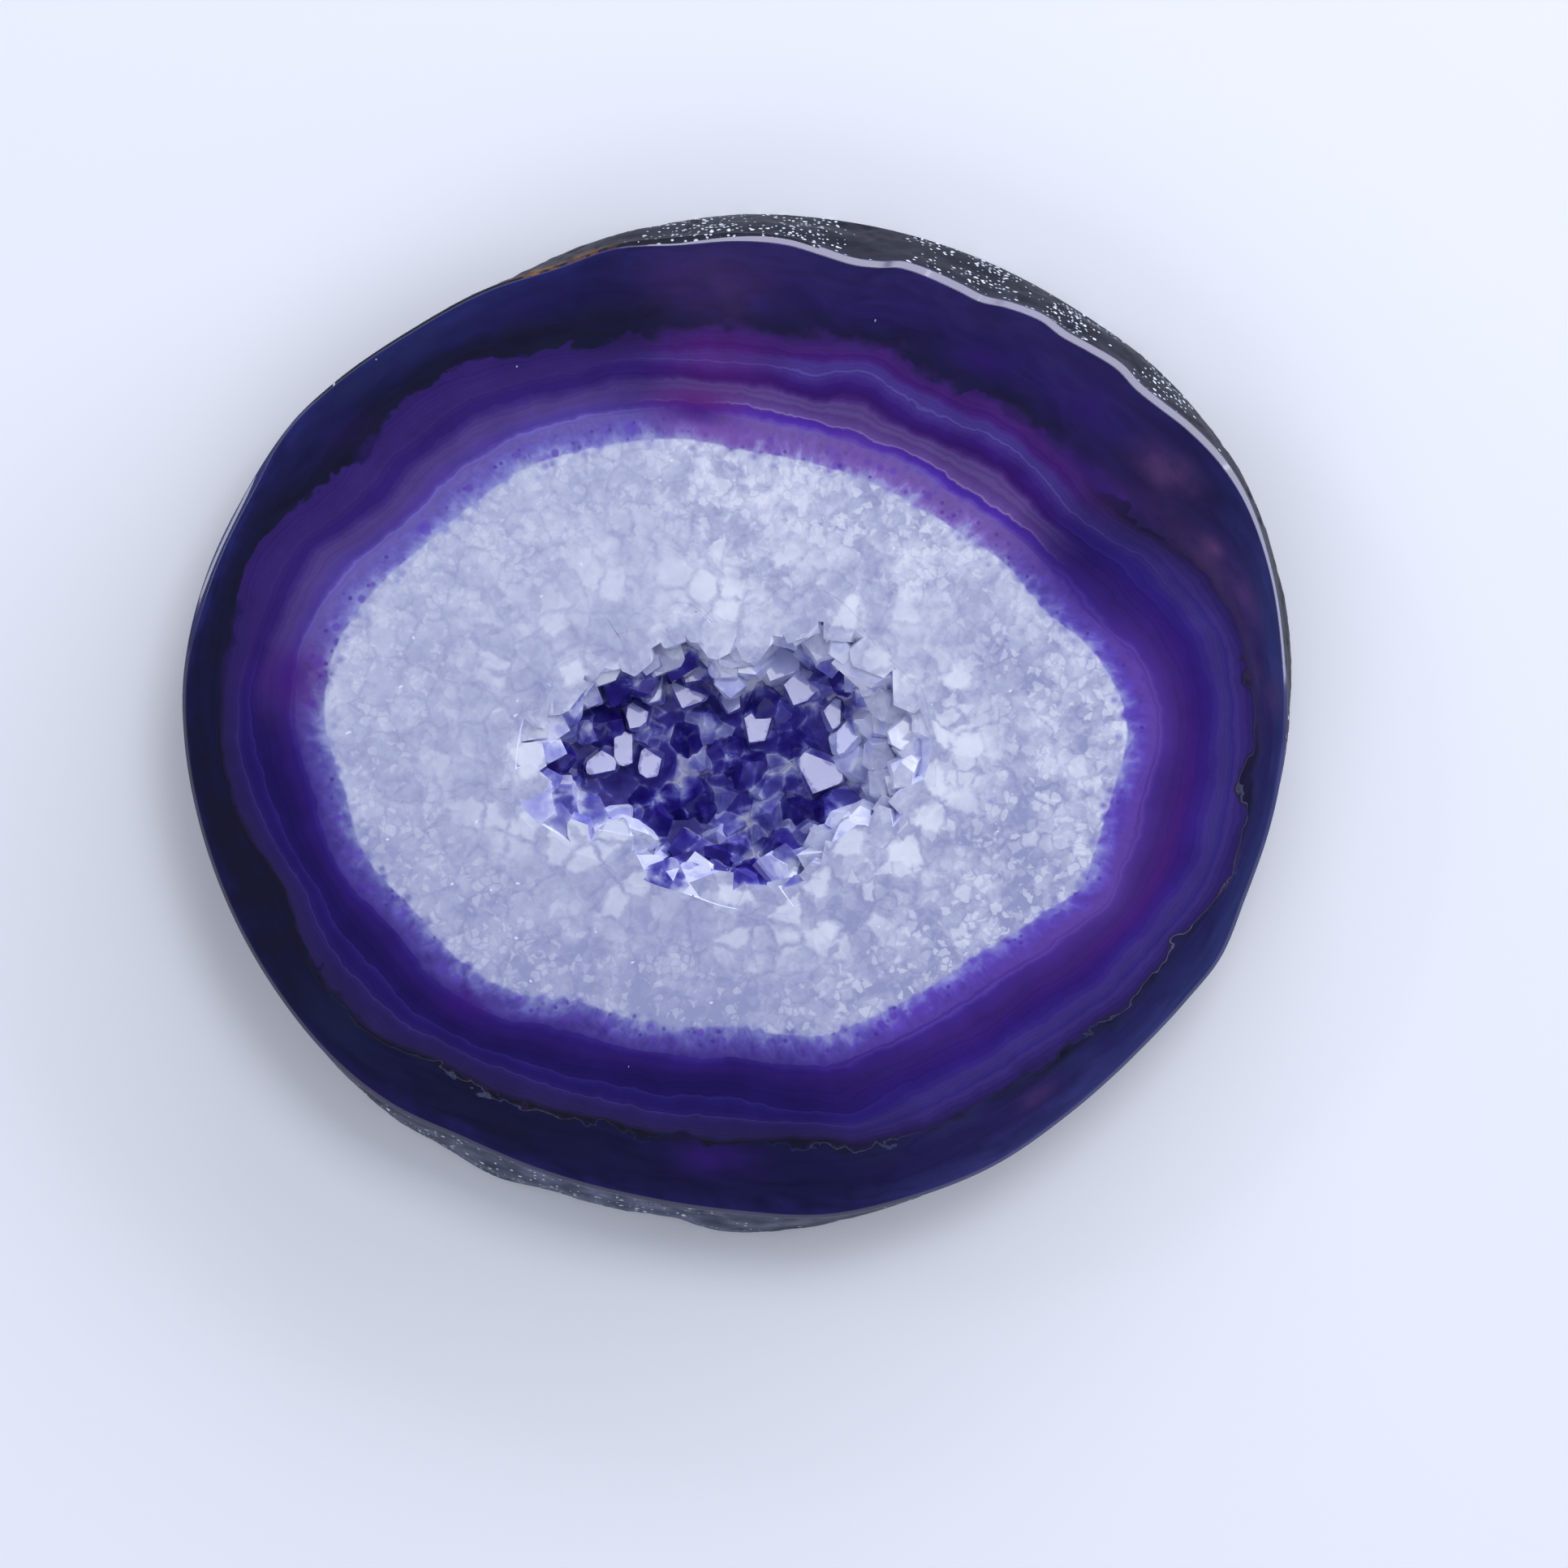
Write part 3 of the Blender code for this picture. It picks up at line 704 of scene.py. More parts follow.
# %% The dark outer zone
OUTER = {
    "low": ((0.0, "#1D1A48"), (0.2, "#16153A"), (0.5, "#16153A"), (0.85, "#16153A"), (1.0, "#15162A")),
    "right_side": (
        (0.0, "#2D2F60"), (0.2, "#292A5A"), (0.4, "#241F50"), (0.65, "#221D4E"), (0.86, "#24234A"),
        (1.0, "#1C1936"),
    ),
    "top_side": (
        (0.0, "#262152"), (0.2, "#272051"), (0.5, "#231B50"), (0.78, "#1C1A42"), (0.86, "#1E1A40"),
        (0.95, "#31215A"), (1.0, "#3C2268"),
    ),
    "left_side": (
        (0.0, "#22245A"), (0.2, "#1D1A48"), (0.5, "#1A1942"), (0.8, "#191932"), (0.9, "#191932"),
        (0.96, "#2A1E56"), (1.0, "#2E1F60"),
    ),
}
outer_at = add(tree, "Math", TIMES_PLUS, [stain_shift, 0.7, bent])
outer = by_side(tree, OUTER, outer_at, 0.0, 1.0)
# Thin wisps run along the layers of the dark zone, and spots with torn edges lie in it
WISP = 2.4
along_layers = add(tree, "VectorMath", TIMES, [ribbon_in, (0.35, 0.35, 1.0)])
wisps = {"Vector": along_layers, "Scale": 1 / WISP, "Detail": 5.0, "Distortion": 1.2}
wisps = add(tree, "TexNoise", {}, wisps)
outer = dappled(tree, outer, wisps, 0.78, 1.26)
# The mauve tint also paints a soft sheen, a reflection, into the dark zone at the top
SPOT_COLOURS = {
    "navy_spot": "#283560", "purple_spot": "#2C1860", "mauve_dye_and_sheen": "#553A68", "ink_spot": "#15162A",
}
torn = add(tree, "Math", TIMES_PLUS, [stain_shift, 2.6, 0.9])
for name, tint in SPOT_COLOURS.items():
    outer = tinted(tree, outer, tint, torn, mask_in[name])
print("wisps", WISP, "mm broad, torn spots:", ", ".join(SPOT_COLOURS))

# %% The jagged edge between the dark zone and the bands
JAG = 2.4
TONGUE = 3.6
jag = ripple(tree, place_mm, JAG, {"Detail": 5.0, "Roughness": 0.6})
jagged = add(tree, "Math", TIMES_PLUS, [jag, 0.24, bent])
tongues = ripple(tree, ribbon_in, TONGUE, {"Detail": 1.0, "Distortion": 1.0})
jagged = add(tree, "Math", TIMES_PLUS, [tongues, 0.4, jagged])
# Here and there the bands break out into the dark zone, or the dark zone into the bands
uneven = add(tree, "Math", TIMES_PLUS, [jag, 2.4, 1.0])
for name, shift in (("edge_out", 0.13), ("edge_in", -0.13)):
    mask = add(tree, "Math", TIMES, [mask_in[name], uneven])
    jagged = add(tree, "Math", TIMES_PLUS, [mask, shift, jagged])
in_bands = add(tree, "MapRange", SOFT, [jagged, 0.96, 1.02])
stone = add(tree, "Mix", COLOUR, [in_bands, outer, bands])
# A healed crack follows the edge as a pale line with rust beside it: growth, colour, strength
CRACK = ((0.985, "#3A2636", 0.8), (0.955, "#5A6076", 0.9))
for level, tint, strength in CRACK:
    off_line = add(tree, "Math", MINUS, [jagged, level])
    off_line = add(tree, "Math", {"operation": "ABSOLUTE"}, [off_line])
    line = add(tree, "MapRange", SOFT, [off_line, 0.016, 0.004, 0.0, strength])
    stone = tinted(tree, stone, tint, line, mask_in["crack_zone"])
print("notches", JAG, "and", TONGUE, "mm, crack lines at growth", [level for level, *rest in CRACK])

# %% [markdown]
# ## Where the bands turn to quartz
# Past the violet line the stone coarsens. Fans of fine fibres, here called rays, stand across the
# layers; little round spheres of denser dye lie among them, and the last layer ends in small lobes
# on which the coarse quartz began to grow. Noise that is stretched across the layers gives rays,
# and cell patterns give round things: a cell's dot is a sphere, and the distance to a cell's
# middle pushes the edge out into a lobe. Masks then tint whole areas rose, orchid or grape.

# %% Rays at the edge of the quartz
RAY_BREADTHS = (1.5, 4.4)
RAY_PUSH = 0.9
LOBE = 1.5
near_edge = add(tree, "MapRange", SOFT, [growth_in, 2.0, 2.4])
along_rays = add(tree, "VectorMath", TIMES, [ribbon_in, (1.0, 1.0, 0.3)])
at_ray = growth_in
for breadth in RAY_BREADTHS:
    ray = ripple(tree, along_rays, breadth, {"Detail": 2.0, "Distortion": 0.7})
    ray = add(tree, "Math", TIMES, [ray, near_edge])
    at_ray = add(tree, "Math", TIMES_PLUS, [ray, RAY_PUSH, at_ray])
lobes = add(tree, "TexVoronoi", {}, {"Vector": place_mm, "Scale": 1 / LOBE, "Randomness": 0.9})
lobe_push = add(tree, "MapRange", {}, [lobes.outputs["Distance"], 0.0, 0.65, -0.07, 0.06])
at_edge = add(tree, "Math", PLUS, [lobe_push, growth_in])
at_ray = add(tree, "Math", TIMES_PLUS, [lobe_push, 2.0, at_ray])
print("rays", RAY_BREADTHS, "mm broad, lobes", LOBE, "mm")

# %% Colours of the rays
EDGE_BANDS = {
    "low": (
        (1.85, "#302272"), (2.0, "#3E3080"), (2.15, "#443683"), (2.3, "#4B408C"), (2.5, "#534998"),
        (2.7, "#605BA4"), (2.9, "#7274B0"), (3.05, "#8488BA"), (3.2, "#9094C2"),
    ),
    "right_side": (
        (1.85, "#40288A"), (2.0, "#523B94"), (2.15, "#563E98"), (2.3, "#573F9C"), (2.5, "#5A45A8"),
        (2.7, "#6553B4"), (2.85, "#7066BC"), (3.0, "#807CC4"), (3.2, "#9496CC"),
    ),
    "top_side": (
        (1.85, "#5A429C"), (2.0, "#6854A0"), (2.15, "#70599E"), (2.35, "#70589E"), (2.6, "#7A60AC"),
        (2.8, "#8472B8"), (2.95, "#9490C8"), (3.2, "#A4A8D2"),
    ),
    "left_side": (
        (1.85, "#5C529C"), (2.0, "#685CA4"), (2.15, "#6A5EA4"), (2.35, "#665BA8"), (2.6, "#6D66B2"),
        (2.8, "#7876BA"), (2.95, "#8686C2"), (3.2, "#9CA0CC"),
    ),
}
edge_zone = by_side(tree, EDGE_BANDS, at_ray, 1.85, 3.2)
FIBRE = 1.1
fibres = {"Vector": along_rays, "Scale": 1 / FIBRE, "Detail": 2.0, "Distortion": 0.9}
fibres = add(tree, "TexNoise", {}, fibres)
edge_zone = dappled(tree, edge_zone, fibres, 0.9, 1.1)
# Spheres of denser dye among the rays: size in mm, how few, colour
BEADS = ((2.4, 0.55, "#5E44B0"), (1.4, 0.5, "#5A3CA8"), (0.7, 0.72, "#452C88"))
for size, rarity, tint in BEADS:
    pick, bead = scattered(tree, place_mm, size, 0.5, 0.22, {"Randomness": 0.9})
    chosen = add(tree, "MapRange", {}, [pick, rarity, 1.0, 0.0, 0.75])
    edge_zone = tinted(tree, edge_zone, tint, chosen, bead, near_edge)
past_violet = add(tree, "MapRange", SOFT, [bent, 1.985, 2.02])
stone = add(tree, "Mix", COLOUR, [past_violet, stone, edge_zone])
# Where denser dye tints whole areas: the mask, its colour and its strength
TINTS = (("rose_spot", "#5C1E68", 0.9), ("orchid_spot", "#724E9E", 0.72), ("grape_spot", "#3A1070", 0.95))
for name, tint, strength in TINTS:
    stone = tinted(tree, stone, tint, mask_in[name], strength)
print("spheres", [size for size, *rest in BEADS], "mm across, tints:", [name for name, *rest in TINTS])

# %% [markdown]
# ## The quartz middle
# Coarse quartz is a crowd of crystals 1 to 7 mm across, cut through by the saw. Each crystal sends
# back a little more or less light, some show as whole pale patches, dim seams run between them, and
# clouds of tiny bubbles make some areas milky. One noise would look like fog. Cell patterns of four
# sizes, each cell with its own brightness, look like grains, and noise bends their edges.

# %% Grains and clouds
GRAIN_BEND = 1.3
bend = add(tree, "TexNoise", {}, [place_mm, 1 / GRAIN_BEND, 2.0])
bend = add(tree, "VectorMath", MINUS, [bend.outputs["Color"], (0.5, 0.5, 0.5)])
bend = add(tree, "VectorMath", SCALED, [bend, GRAIN_BEND])
grain_place = add(tree, "VectorMath", PLUS, [place_mm, bend])
# Size in mm and share in the brightness, of grains and then of clouds
GRAINS = ((0.9, 0.13), (1.8, 0.16), (3.6, 0.15), (6.5, 0.12))
CLOUDS = ((1.3, 0.4), (6.0, 0.6))
light = 0.22
for size, weight in GRAINS:
    cells = add(tree, "TexVoronoi", {}, [grain_place, 1 / size])
    pick = add(tree, "SeparateColor", {}, [cells.outputs["Color"]])
    light = add(tree, "Math", TIMES_PLUS, [pick, weight, light])
for size, weight in CLOUDS:
    milk = ripple(tree, place_mm, size, {"Detail": 3.0})
    light = add(tree, "Math", TIMES_PLUS, [milk, weight, light])
print("grains", [size for size, weight in GRAINS], "mm, clouds", [size for size, weight in CLOUDS], "mm")

# %% Light and shade in the quartz
# The grains stand out more at the top and the right, and the quartz dims towards the bottom
lively = add(tree, "Math", {"operation": "MAXIMUM"}, [mask_in["top_side"], mask_in["right_side"]])
contrast = add(tree, "MapRange", {}, [lively, 0.0, 1.0, 0.6, 1.05])
off_middle = add(tree, "Math", MINUS, [light, 0.5])
light = add(tree, "Math", TIMES_PLUS, [off_middle, contrast, 0.5])
up_slice = add(tree, "SeparateXYZ", {}, [place_mm]).outputs["Y"]
dimmer = add(tree, "MapRange", {}, [up_slice, -36.0, 14.0, -0.20, 0.02])
light = add(tree, "Math", PLUS, [light, dimmer])
# Crystals of the coarse quartz part along dim seams
SEAM_CELL = 4.2
seams = add(tree, "TexVoronoi", {"feature": "DISTANCE_TO_EDGE"}, [grain_place, 1 / SEAM_CELL])
seam_shade = add(tree, "MapRange", SOFT, [seams.outputs["Distance"], 0.0, 0.09, -0.09, 0.0])
light = add(tree, "Math", PLUS, [light, seam_shade])
QUARTZ_TONES = ((0.2, "#9599BD"), (0.4, "#A9ADCA"), (0.52, "#B7BCD4"), (0.66, "#C7CBDF"), (0.8, "#DADDE9"))
quartz_colour = add(tree, "ValToRGB", {}, [light], QUARTZ_TONES)
print(len(QUARTZ_TONES), "tones of quartz, seams", SEAM_CELL, "mm apart")

# %% Whole crystals in the quartz
# Whole crystals cut by the saw show paler, with soft edges, and larger towards the hollow
near_mouth = add(tree, "MapRange", SOFT, [bent, 3.35, 3.85])
far_from_mouth = add(tree, "Math", MINUS, [1.0, near_mouth])
# Size in mm, how few, strength, and where
WHITE_CRYSTALS = ((1.0, 0.52, 0.5, far_from_mouth), (1.9, 0.6, 0.5, lively), (3.4, 0.5, 0.8, near_mouth))
for size, rarity, strength, zone in WHITE_CRYSTALS:
    cells = add(tree, "TexVoronoi", {}, [grain_place, 1 / size])
    rims = add(tree, "TexVoronoi", {"feature": "DISTANCE_TO_EDGE"}, [grain_place, 1 / size])
    pick = add(tree, "SeparateColor", {}, [cells.outputs["Color"]])
    pick = add(tree, "Math", TIMES_PLUS, [milk, 0.8, pick])
    chosen = add(tree, "MapRange", {}, [pick, rarity, rarity + 0.3])
    inside = add(tree, "MapRange", SOFT, [rims.outputs["Distance"], 0.0, 0.16, 0.0, strength])
    quartz_colour = tinted(tree, quartz_colour, "#E0E5F0", chosen, inside, zone, contrast)
in_quartz = add(tree, "MapRange", SOFT, [at_edge, 2.95, 3.08])
stone = add(tree, "Mix", COLOUR, [in_quartz, stone, quartz_colour])
print("pale crystals", [size for size, *rest in WHITE_CRYSTALS], "mm across")

# %% Painted glints, flaws and gloss
# Painted glints and pale flaws: tiny faces inside the stone that catch the light are painted as pale dots;
# size of a cell in mm, how few, how round, colour, where
PAINTED_GLINTS_AND_FLAWS = ((1.5, 0.90, 0.16, "#DDE2F2", in_quartz), (3.2, 0.93, 0.05, "#AEB2C8", 0.8))
for size, rarity, rim, tint, zone in PAINTED_GLINTS_AND_FLAWS:
    pick, dot = scattered(tree, grain_place, size, rim, 0.5 * rim)
    few = add(tree, "Math", ABOVE, [pick, rarity])
    stone = tinted(tree, stone, tint, few, dot, zone)
set_inputs(tree, shader, {"Base Color": stone, "Roughness": 0.07, "IOR": 1.54})
print(agate.name, "has", len(tree.nodes), "nodes")

# %% [markdown]
# ## The rind
# The outside of a nodule is a dull, finely pitted skin, here tumbled smooth and stained dark by the
# dye. Undyed grains of quartz in it catch the light as pale flecks, one stretch is greyer, and a
# little rust sits in another. The lumps are in the mesh already, so the material needs no bumps.

# %% Rind material
# To the eye: a dull blue black that hardly mirrors, with a sprinkle of pale flecks
RIND_COLOUR = ((0.3, "#14151F"), (0.5, "#1C1E2A"), (0.7, "#272936"))
MATT_COLOUR = ((0.3, "#34384C"), (0.5, "#4C5168"), (0.7, "#686E86"))
MOTTLE, RUST, DRIFT = 3.0, 1.2, 4.0
rind, tree, shader = new_material("Dyed agate rind")
place_mm = place_in_mm(tree)
for name in RIND_SPOTS:
    mask_in[name] = add(tree, "Attribute", {"attribute_name": name}).outputs["Fac"]
mottle = add(tree, "TexNoise", {}, [place_mm, 1 / MOTTLE, 4.0])
skin = add(tree, "ValToRGB", {}, [mottle], RIND_COLOUR)
matt_skin = add(tree, "ValToRGB", {}, [mottle], MATT_COLOUR)
skin = add(tree, "Mix", COLOUR, [mask_in["matt_zone"], skin, matt_skin])
rust = add(tree, "TexNoise", {}, [place_mm, 1 / RUST, 3.0])
rusty = add(tree, "MapRange", SOFT, [rust, 0.45, 0.58])
up_wall = add(tree, "SeparateXYZ", {}, [place_mm]).outputs["Z"]
near_top = add(tree, "MapRange", {}, [up_wall, 0.6 * THICKNESS, 0.9 * THICKNESS])
skin = tinted(tree, skin, "#7C5426", rusty, mask_in["stain_zone"], near_top)
# Flecks drift in loose swarms: size of a cell in mm, how few, how large in it
FLECKS = ((0.9, 0.55, 0.34), (0.5, 0.6, 0.4))
drift = ripple(tree, place_mm, DRIFT, {"Detail": 3.0})
drifting = add(tree, "Math", TIMES_PLUS, [drift, 1.1, mask_in["fleck_zone"]])
for size, rarity, rim in FLECKS:
    pick, dot = scattered(tree, place_mm, size, rim, 0.7 * rim)
    odds = add(tree, "Math", TIMES_PLUS, [drifting, 0.5, pick])
    few = add(tree, "Math", ABOVE, [odds, rarity + 0.5])
    skin = tinted(tree, skin, "#C9D0DC", few, dot, 0.9)
set_inputs(tree, shader, {"Base Color": skin, "Roughness": 0.42, "IOR": 1.54, "Specular IOR Level": 0.04})
print(rind.name, "has", len(tree.nodes), "nodes")

# %% Stone under the crystals
# To the eye: a plain ground that is glimpsed between crystals, pale or dyed as they are
bed, tree, shader = new_material("Quartz under the crystals")
dye_in = add(tree, "Attribute", {"attribute_name": "dye"}).outputs["Fac"]
dyed_bed = add(tree, "ValToRGB", {}, [dye_in], ((0.3, "#C2C5DE"), (0.6, "#2A1A80")))
set_inputs(tree, shader, {"Base Color": dyed_bed, "Roughness": 0.5})

for material in (agate, rind, bed):
    slab_mesh.materials.append(material)
print("materials on the stone:", [material.name for material in slab_mesh.materials])

# %% [markdown]
# ## The crystals of the hollow
# Quartz grows in six-sided prisms that end in a point of six slopes. Each slope leans 52 degrees
# out from the crystal's own axis, and that angle is the same in every quartz crystal. Points
# scattered over the bowl by a particle system would float in it or lie inside each other, so each
# one is cut here from flat planes, as nature does it, and then all of them are fused into one skin.

# %% Where a crystal stands
CRUST_GAP = 0.35
CRUST_WALL = 1.3
BED_INSET = CRUST_GAP + CRUST_WALL
FACE_LEVEL = THICKNESS - 0.02
UP = np.array((0.0, 0.0, 1.0))


def level_way(degrees):
    """A level direction at an angle round the slice."""
    turn = math.radians(degrees)
    return np.array((math.cos(turn), math.sin(turn), 0.0))


def bed_point(along, degrees):
    """A point on the bowl and its normal: along is 0 at the middle and 1 at the mouth."""
    mouth = float(outline_at(MOUTH_OUTLINE, degrees))
    section = [(0.0, 0.0)]
    section += [(share * mouth, rise * HOLLOW_DEPTH) for rise, share in HOLLOW_SECTION]
    steps = [math.dist(low, high) for low, high in zip(section, section[1:])]
    left = along * sum(steps)
    index = 0
    while left > steps[index] and index < len(steps) - 1:
        left -= steps[index]
        index += 1
    low, high = section[index], section[index + 1]
    run = high[0] - low[0]
    climb = high[1] - low[1]
    part_way = left / steps[index]
    outward = level_way(degrees)
    normal = UP * run - outward * climb
    normal /= np.linalg.norm(normal)
    radius = max(low[0] + part_way * run - BED_INSET, 0.0)
    height = STONE_UNDER_HOLLOW + BED_INSET + low[1] + part_way * climb
    return np.array((*HOLLOW_MIDDLE, height)) + outward * radius, normal


def bed_height(x, y):
    """Height of the bowl's inside above a place in plan."""
    off = np.array((x, y)) - HOLLOW_MIDDLE
    mouth = float(outline_at(MOUTH_OUTLINE, math.degrees(math.atan2(off[1], off[0]))))
    rise = np.interp((np.hypot(*off) + BED_INSET) / mouth, HOLLOW_SHARES, HOLLOW_RISES)
    return STONE_UNDER_HOLLOW + BED_INSET + rise * (HOLLOW_DEPTH - BED_INSET)


print("bowl inside is", round(bed_height(*HOLLOW_MIDDLE), 2), "mm up in the middle")

# %% The planes of a crystal
SLOPE_LEAN = math.radians(51.8)
ROOT_DEPTH = 1.1


def crystal_planes(base, axis, toward, across, rise, uneven, broad=0.0, root=ROOT_DEPTH):
    """The planes of one quartz point: its first slope faces toward, and broad makes it the widest."""
    side = toward - (toward @ axis) * axis
    side /= np.linalg.norm(side)
    other = np.cross(axis, side)
    planes = []
    for index in range(6):
        turn = math.radians(60.0 * index)
        face = math.cos(turn) * side + math.sin(turn) * other
        half = 0.5 * across * (1.0 + uneven * draw.uniform(-0.25, 0.25))
        slope = math.sin(SLOPE_LEAN) * face + math.cos(SLOPE_LEAN) * axis
        # Every second slope grows a little faster, as the three rhomb faces of real quartz do
        lift = rise + across * (0.10 if index % 2 else -0.04) + uneven * across * draw.uniform(-0.08, 0.12)
        lift -= broad * across if index == 0 else 0.0
        planes.append((slope, slope @ base + math.cos(SLOPE_LEAN) * lift))
        planes.append((face, face @ base + half))
    planes.append((-axis, -axis @ base + root))
    planes.append((UP, FACE_LEVEL))
    return planes


example = crystal_planes(np.zeros(3), UP, np.array((1.0, 0, 0)), 3, 3, 0)
print("a quartz point has", len(example), "planes")

# %% Cutting a crystal from flat planes
SAME_CORNER = 1e-3
FLAT_TRIO = 1e-4
ON_SURFACE = 1e-6


def solid_of_planes(planes):
    """Corners and faces of the convex body inside a set of planes, or None if they leave none."""
    normals = np.array([plane[0] for plane in planes])
    reach = np.array([plane[1] for plane in planes])
    trios = np.array(list(itertools.combinations(range(len(planes)), 3)))
    trios = trios[np.abs(np.linalg.det(normals[trios])) > FLAT_TRIO]
    spots = np.linalg.solve(normals[trios], reach[trios][:, :, None])[:, :, 0]
    spots = spots[(spots @ normals.T <= reach + ON_SURFACE).all(axis=1)]
    kept = []
    for spot in spots:
        if all(math.dist(spot, other) > SAME_CORNER for other in kept):
            kept.append(spot)
    if len(kept) < 4:
        return None
    spots = np.array(kept)
    sides = []
    for normal, distance in zip(normals, reach):
        on_plane = np.flatnonzero(np.abs(spots @ normal - distance) < SAME_CORNER)
        if len(on_plane) < 3:
            continue
        middle = spots[on_plane].mean(axis=0)
        first = spots[on_plane[0]] - middle
        first /= np.linalg.norm(first)
        second = np.cross(normal, first)
        around = np.arctan2((spots[on_plane] - middle) @ second, (spots[on_plane] - middle) @ first)
        sides.append([int(index) for index in on_plane[np.argsort(around)]])
    edges = {(a, b) for side in sides for a, b in zip(side, side[1:] + side[:1])}
    closed = bool(edges) and all((b, a) in edges for a, b in edges)
    return (spots, sides) if closed else None


print("a whole quartz point has", len(solid_of_planes(example)[1]), "sides")

# %% Crystals that catch the window
# A face that leans half as far as the window stands from the zenith mirrors it straight up
SKY_TURN = 60.0
SKY_CLIMB = 58.0
FACET_TILT = (90.0 - SKY_CLIMB) / 2
# Place of each bright face in mm and its breadth
BRIGHT_FACES = (
    (-15.9, -4.4, 4.4), (-13.0, -3.3, 3.4), (-9.9, -4.8, 3.6), (-11.7, 0.6, 3.6), (-9.6, 4.2, 3.6),
    (-5.8, 3.6, 4.4), (-5.0, 6.2, 3.8), (-1.0, 2.4, 2.6), (2.3, -0.5, 4.0), (7.4, 4.2, 5.0),
    (11.3, 0.8, 3.0), (12.6, -1.8, 3.6), (9.3, -5.6, 5.6), (-8.9, -15.4, 1.8), (4.8, 7.6, 5.6),
    (16.3, 7.4, 5.0), (19.6, 3.6, 5.0), (19.6, -5.8, 4.6), (19.4, -1.2, 4.4), (-12.2, 8.0, 4.4),
    (-7.6, 10.4, 4.0), (6.4, -18.4, 3.0), (14.2, -11.6, 3.4), (-18.2, -13.0, 4.0),
)
plans = []


def crystal_with_slope(x, y, level, across, degrees, lean, root=ROOT_DEPTH):
    """Plan a quartz point whose broadest slope lies at a place; no level means on the bowl."""
    tilt = math.radians(lean) - SLOPE_LEAN
    toward = level_way(degrees)
    axis = math.sin(tilt) * toward + math.cos(tilt) * UP
    side = math.cos(tilt) * toward - math.sin(tilt) * UP
    rise = 1.3 + 0.55 * across
    to_slope = axis * (rise - 0.45 * across) + side * 0.25 * across
    base = np.array((x, y, level or 0.0)) - to_slope
    if level is None:
        base[2] = bed_height(x, y)
    plans.append(crystal_planes(base, axis, toward, 0.9 * across, rise, 1.7, 0.2, root))
    return base


bright_bases = []
for x, y, across in BRIGHT_FACES:
    degrees = SKY_TURN + draw.uniform(-14.0, 14.0)
    base = crystal_with_slope(x, y, None, across, degrees, FACET_TILT + draw.uniform(-4.0, 4.0))
    bright_bases.append((*base[:2], across))
bright_bases = np.array(bright_bases)


def crowds_bright(x, y, across, share):
    """Whether a crystal would stand too close to one that catches the window."""
    apart = np.hypot(bright_bases[:, 0] - x, bright_bases[:, 1] - y)
    return (apart < share * (bright_bases[:, 2] + across)).any()


print(len(plans), "crystals face the window")

# %% Crystals on the floor of the bowl
# A spiral that turns by the golden angle spreads them evenly, as in the head of a sunflower
GOLDEN_ANGLE = math.degrees(math.pi * (3.0 - math.sqrt(5.0)))
CRYSTAL_COUNT = 200
CRYSTAL_ACROSS = (3.6, 6.0)
CRYSTAL_RISE = (1.2, 3.4)
CRYSTAL_REACH = 0.72
CRYSTAL_LEAN = 0.55
LEFT_OUT = 0.3

for index in range(CRYSTAL_COUNT):
    along = math.sqrt((index + 0.5) / CRYSTAL_COUNT)
    degrees = index * GOLDEN_ANGLE + draw.uniform(-6.0, 6.0)
    base, normal = bed_point(along, degrees)
    across = draw.uniform(*CRYSTAL_ACROSS)
    rise = draw.uniform(*CRYSTAL_RISE)
    crowded = crowds_bright(*base[:2], across, 0.24)
    if along > CRYSTAL_REACH or crowded or draw.random() < LEFT_OUT:
        continue
    lean = np.array((draw.uniform(-1, 1), draw.uniform(-1, 1), draw.uniform(0.3, 1.3)))
    axis = normal + CRYSTAL_LEAN * lean / np.linalg.norm(lean)
    axis /= np.linalg.norm(axis)
    toward = np.array((draw.uniform(-1, 1), draw.uniform(-1, 1), 0.1))
    plans.append(crystal_planes(base, axis, toward, across, rise, 1.0))
print(len(plans), "crystals with those on the floor")

# %% Crystals round the mouth
# Round the mouth the points lean in over the hollow, so each turns one slope up, nearly level
# Rings of them: count, how far inside the mouth and how far under the face in mm, breadth, lean
MOUTH_RINGS = (
    (34, (4.8, 6.6), (1.6, 3.6), (3.4, 5.0), (-10.0, 16.0)),
    (42, (2.8, 4.6), (0.3, 1.5), (3.8, 5.6), (-12.0, 12.0)),
    (50, (0.4, 2.4), (-0.6, -0.1), (4.6, 7.0), (-12.0, 2.0)),
)
SLOPE_TURN = 60.0
LONG_ROOT = 4.0
for count, inside, under, breadth, leans in MOUTH_RINGS:
    for index in range(count):
        degrees = (index + draw.uniform(-0.3, 0.3)) * 360.0 / count
        radius = float(outline_at(MOUTH_OUTLINE, degrees)) - draw.uniform(*inside)
        x, y = HOLLOW_MIDDLE + radius * level_way(degrees)[:2]
        level = FACE_LEVEL - draw.uniform(*under)
        across = draw.uniform(*breadth)
        if crowds_bright(x, y, across, 0.2):
            continue
        outward = degrees + draw.uniform(-SLOPE_TURN, SLOPE_TURN)
        crystal_with_slope(x, y, level, across, outward, draw.uniform(*leans), LONG_ROOT)
print(len(plans), "crystals in all")

# %% Cut them all
loose_points = bpy.data.collections.new("loose points")
tips = np.zeros((len(plans), 3))
for index, plan in enumerate(plans):
    solid = solid_of_planes(plan)
    if solid is None:
        continue
    corners, sides = solid
    tips[index] = corners[np.argmax(corners[:, 2])]
    point = mesh_object("point", corners, sides)
    bpy.context.scene.collection.objects.unlink(point)
    loose_points.objects.link(point)

# %% [markdown]
# ## One skin from many crystals
# On the real stone the crystals grow out of one crust. Here a thin bowl of quartz takes its place,
# and a Boolean modifier fuses every point to it, so that nothing lies inside anything else and the
# light passes from crystal to crystal. Joining the meshes without it would leave hidden walls.

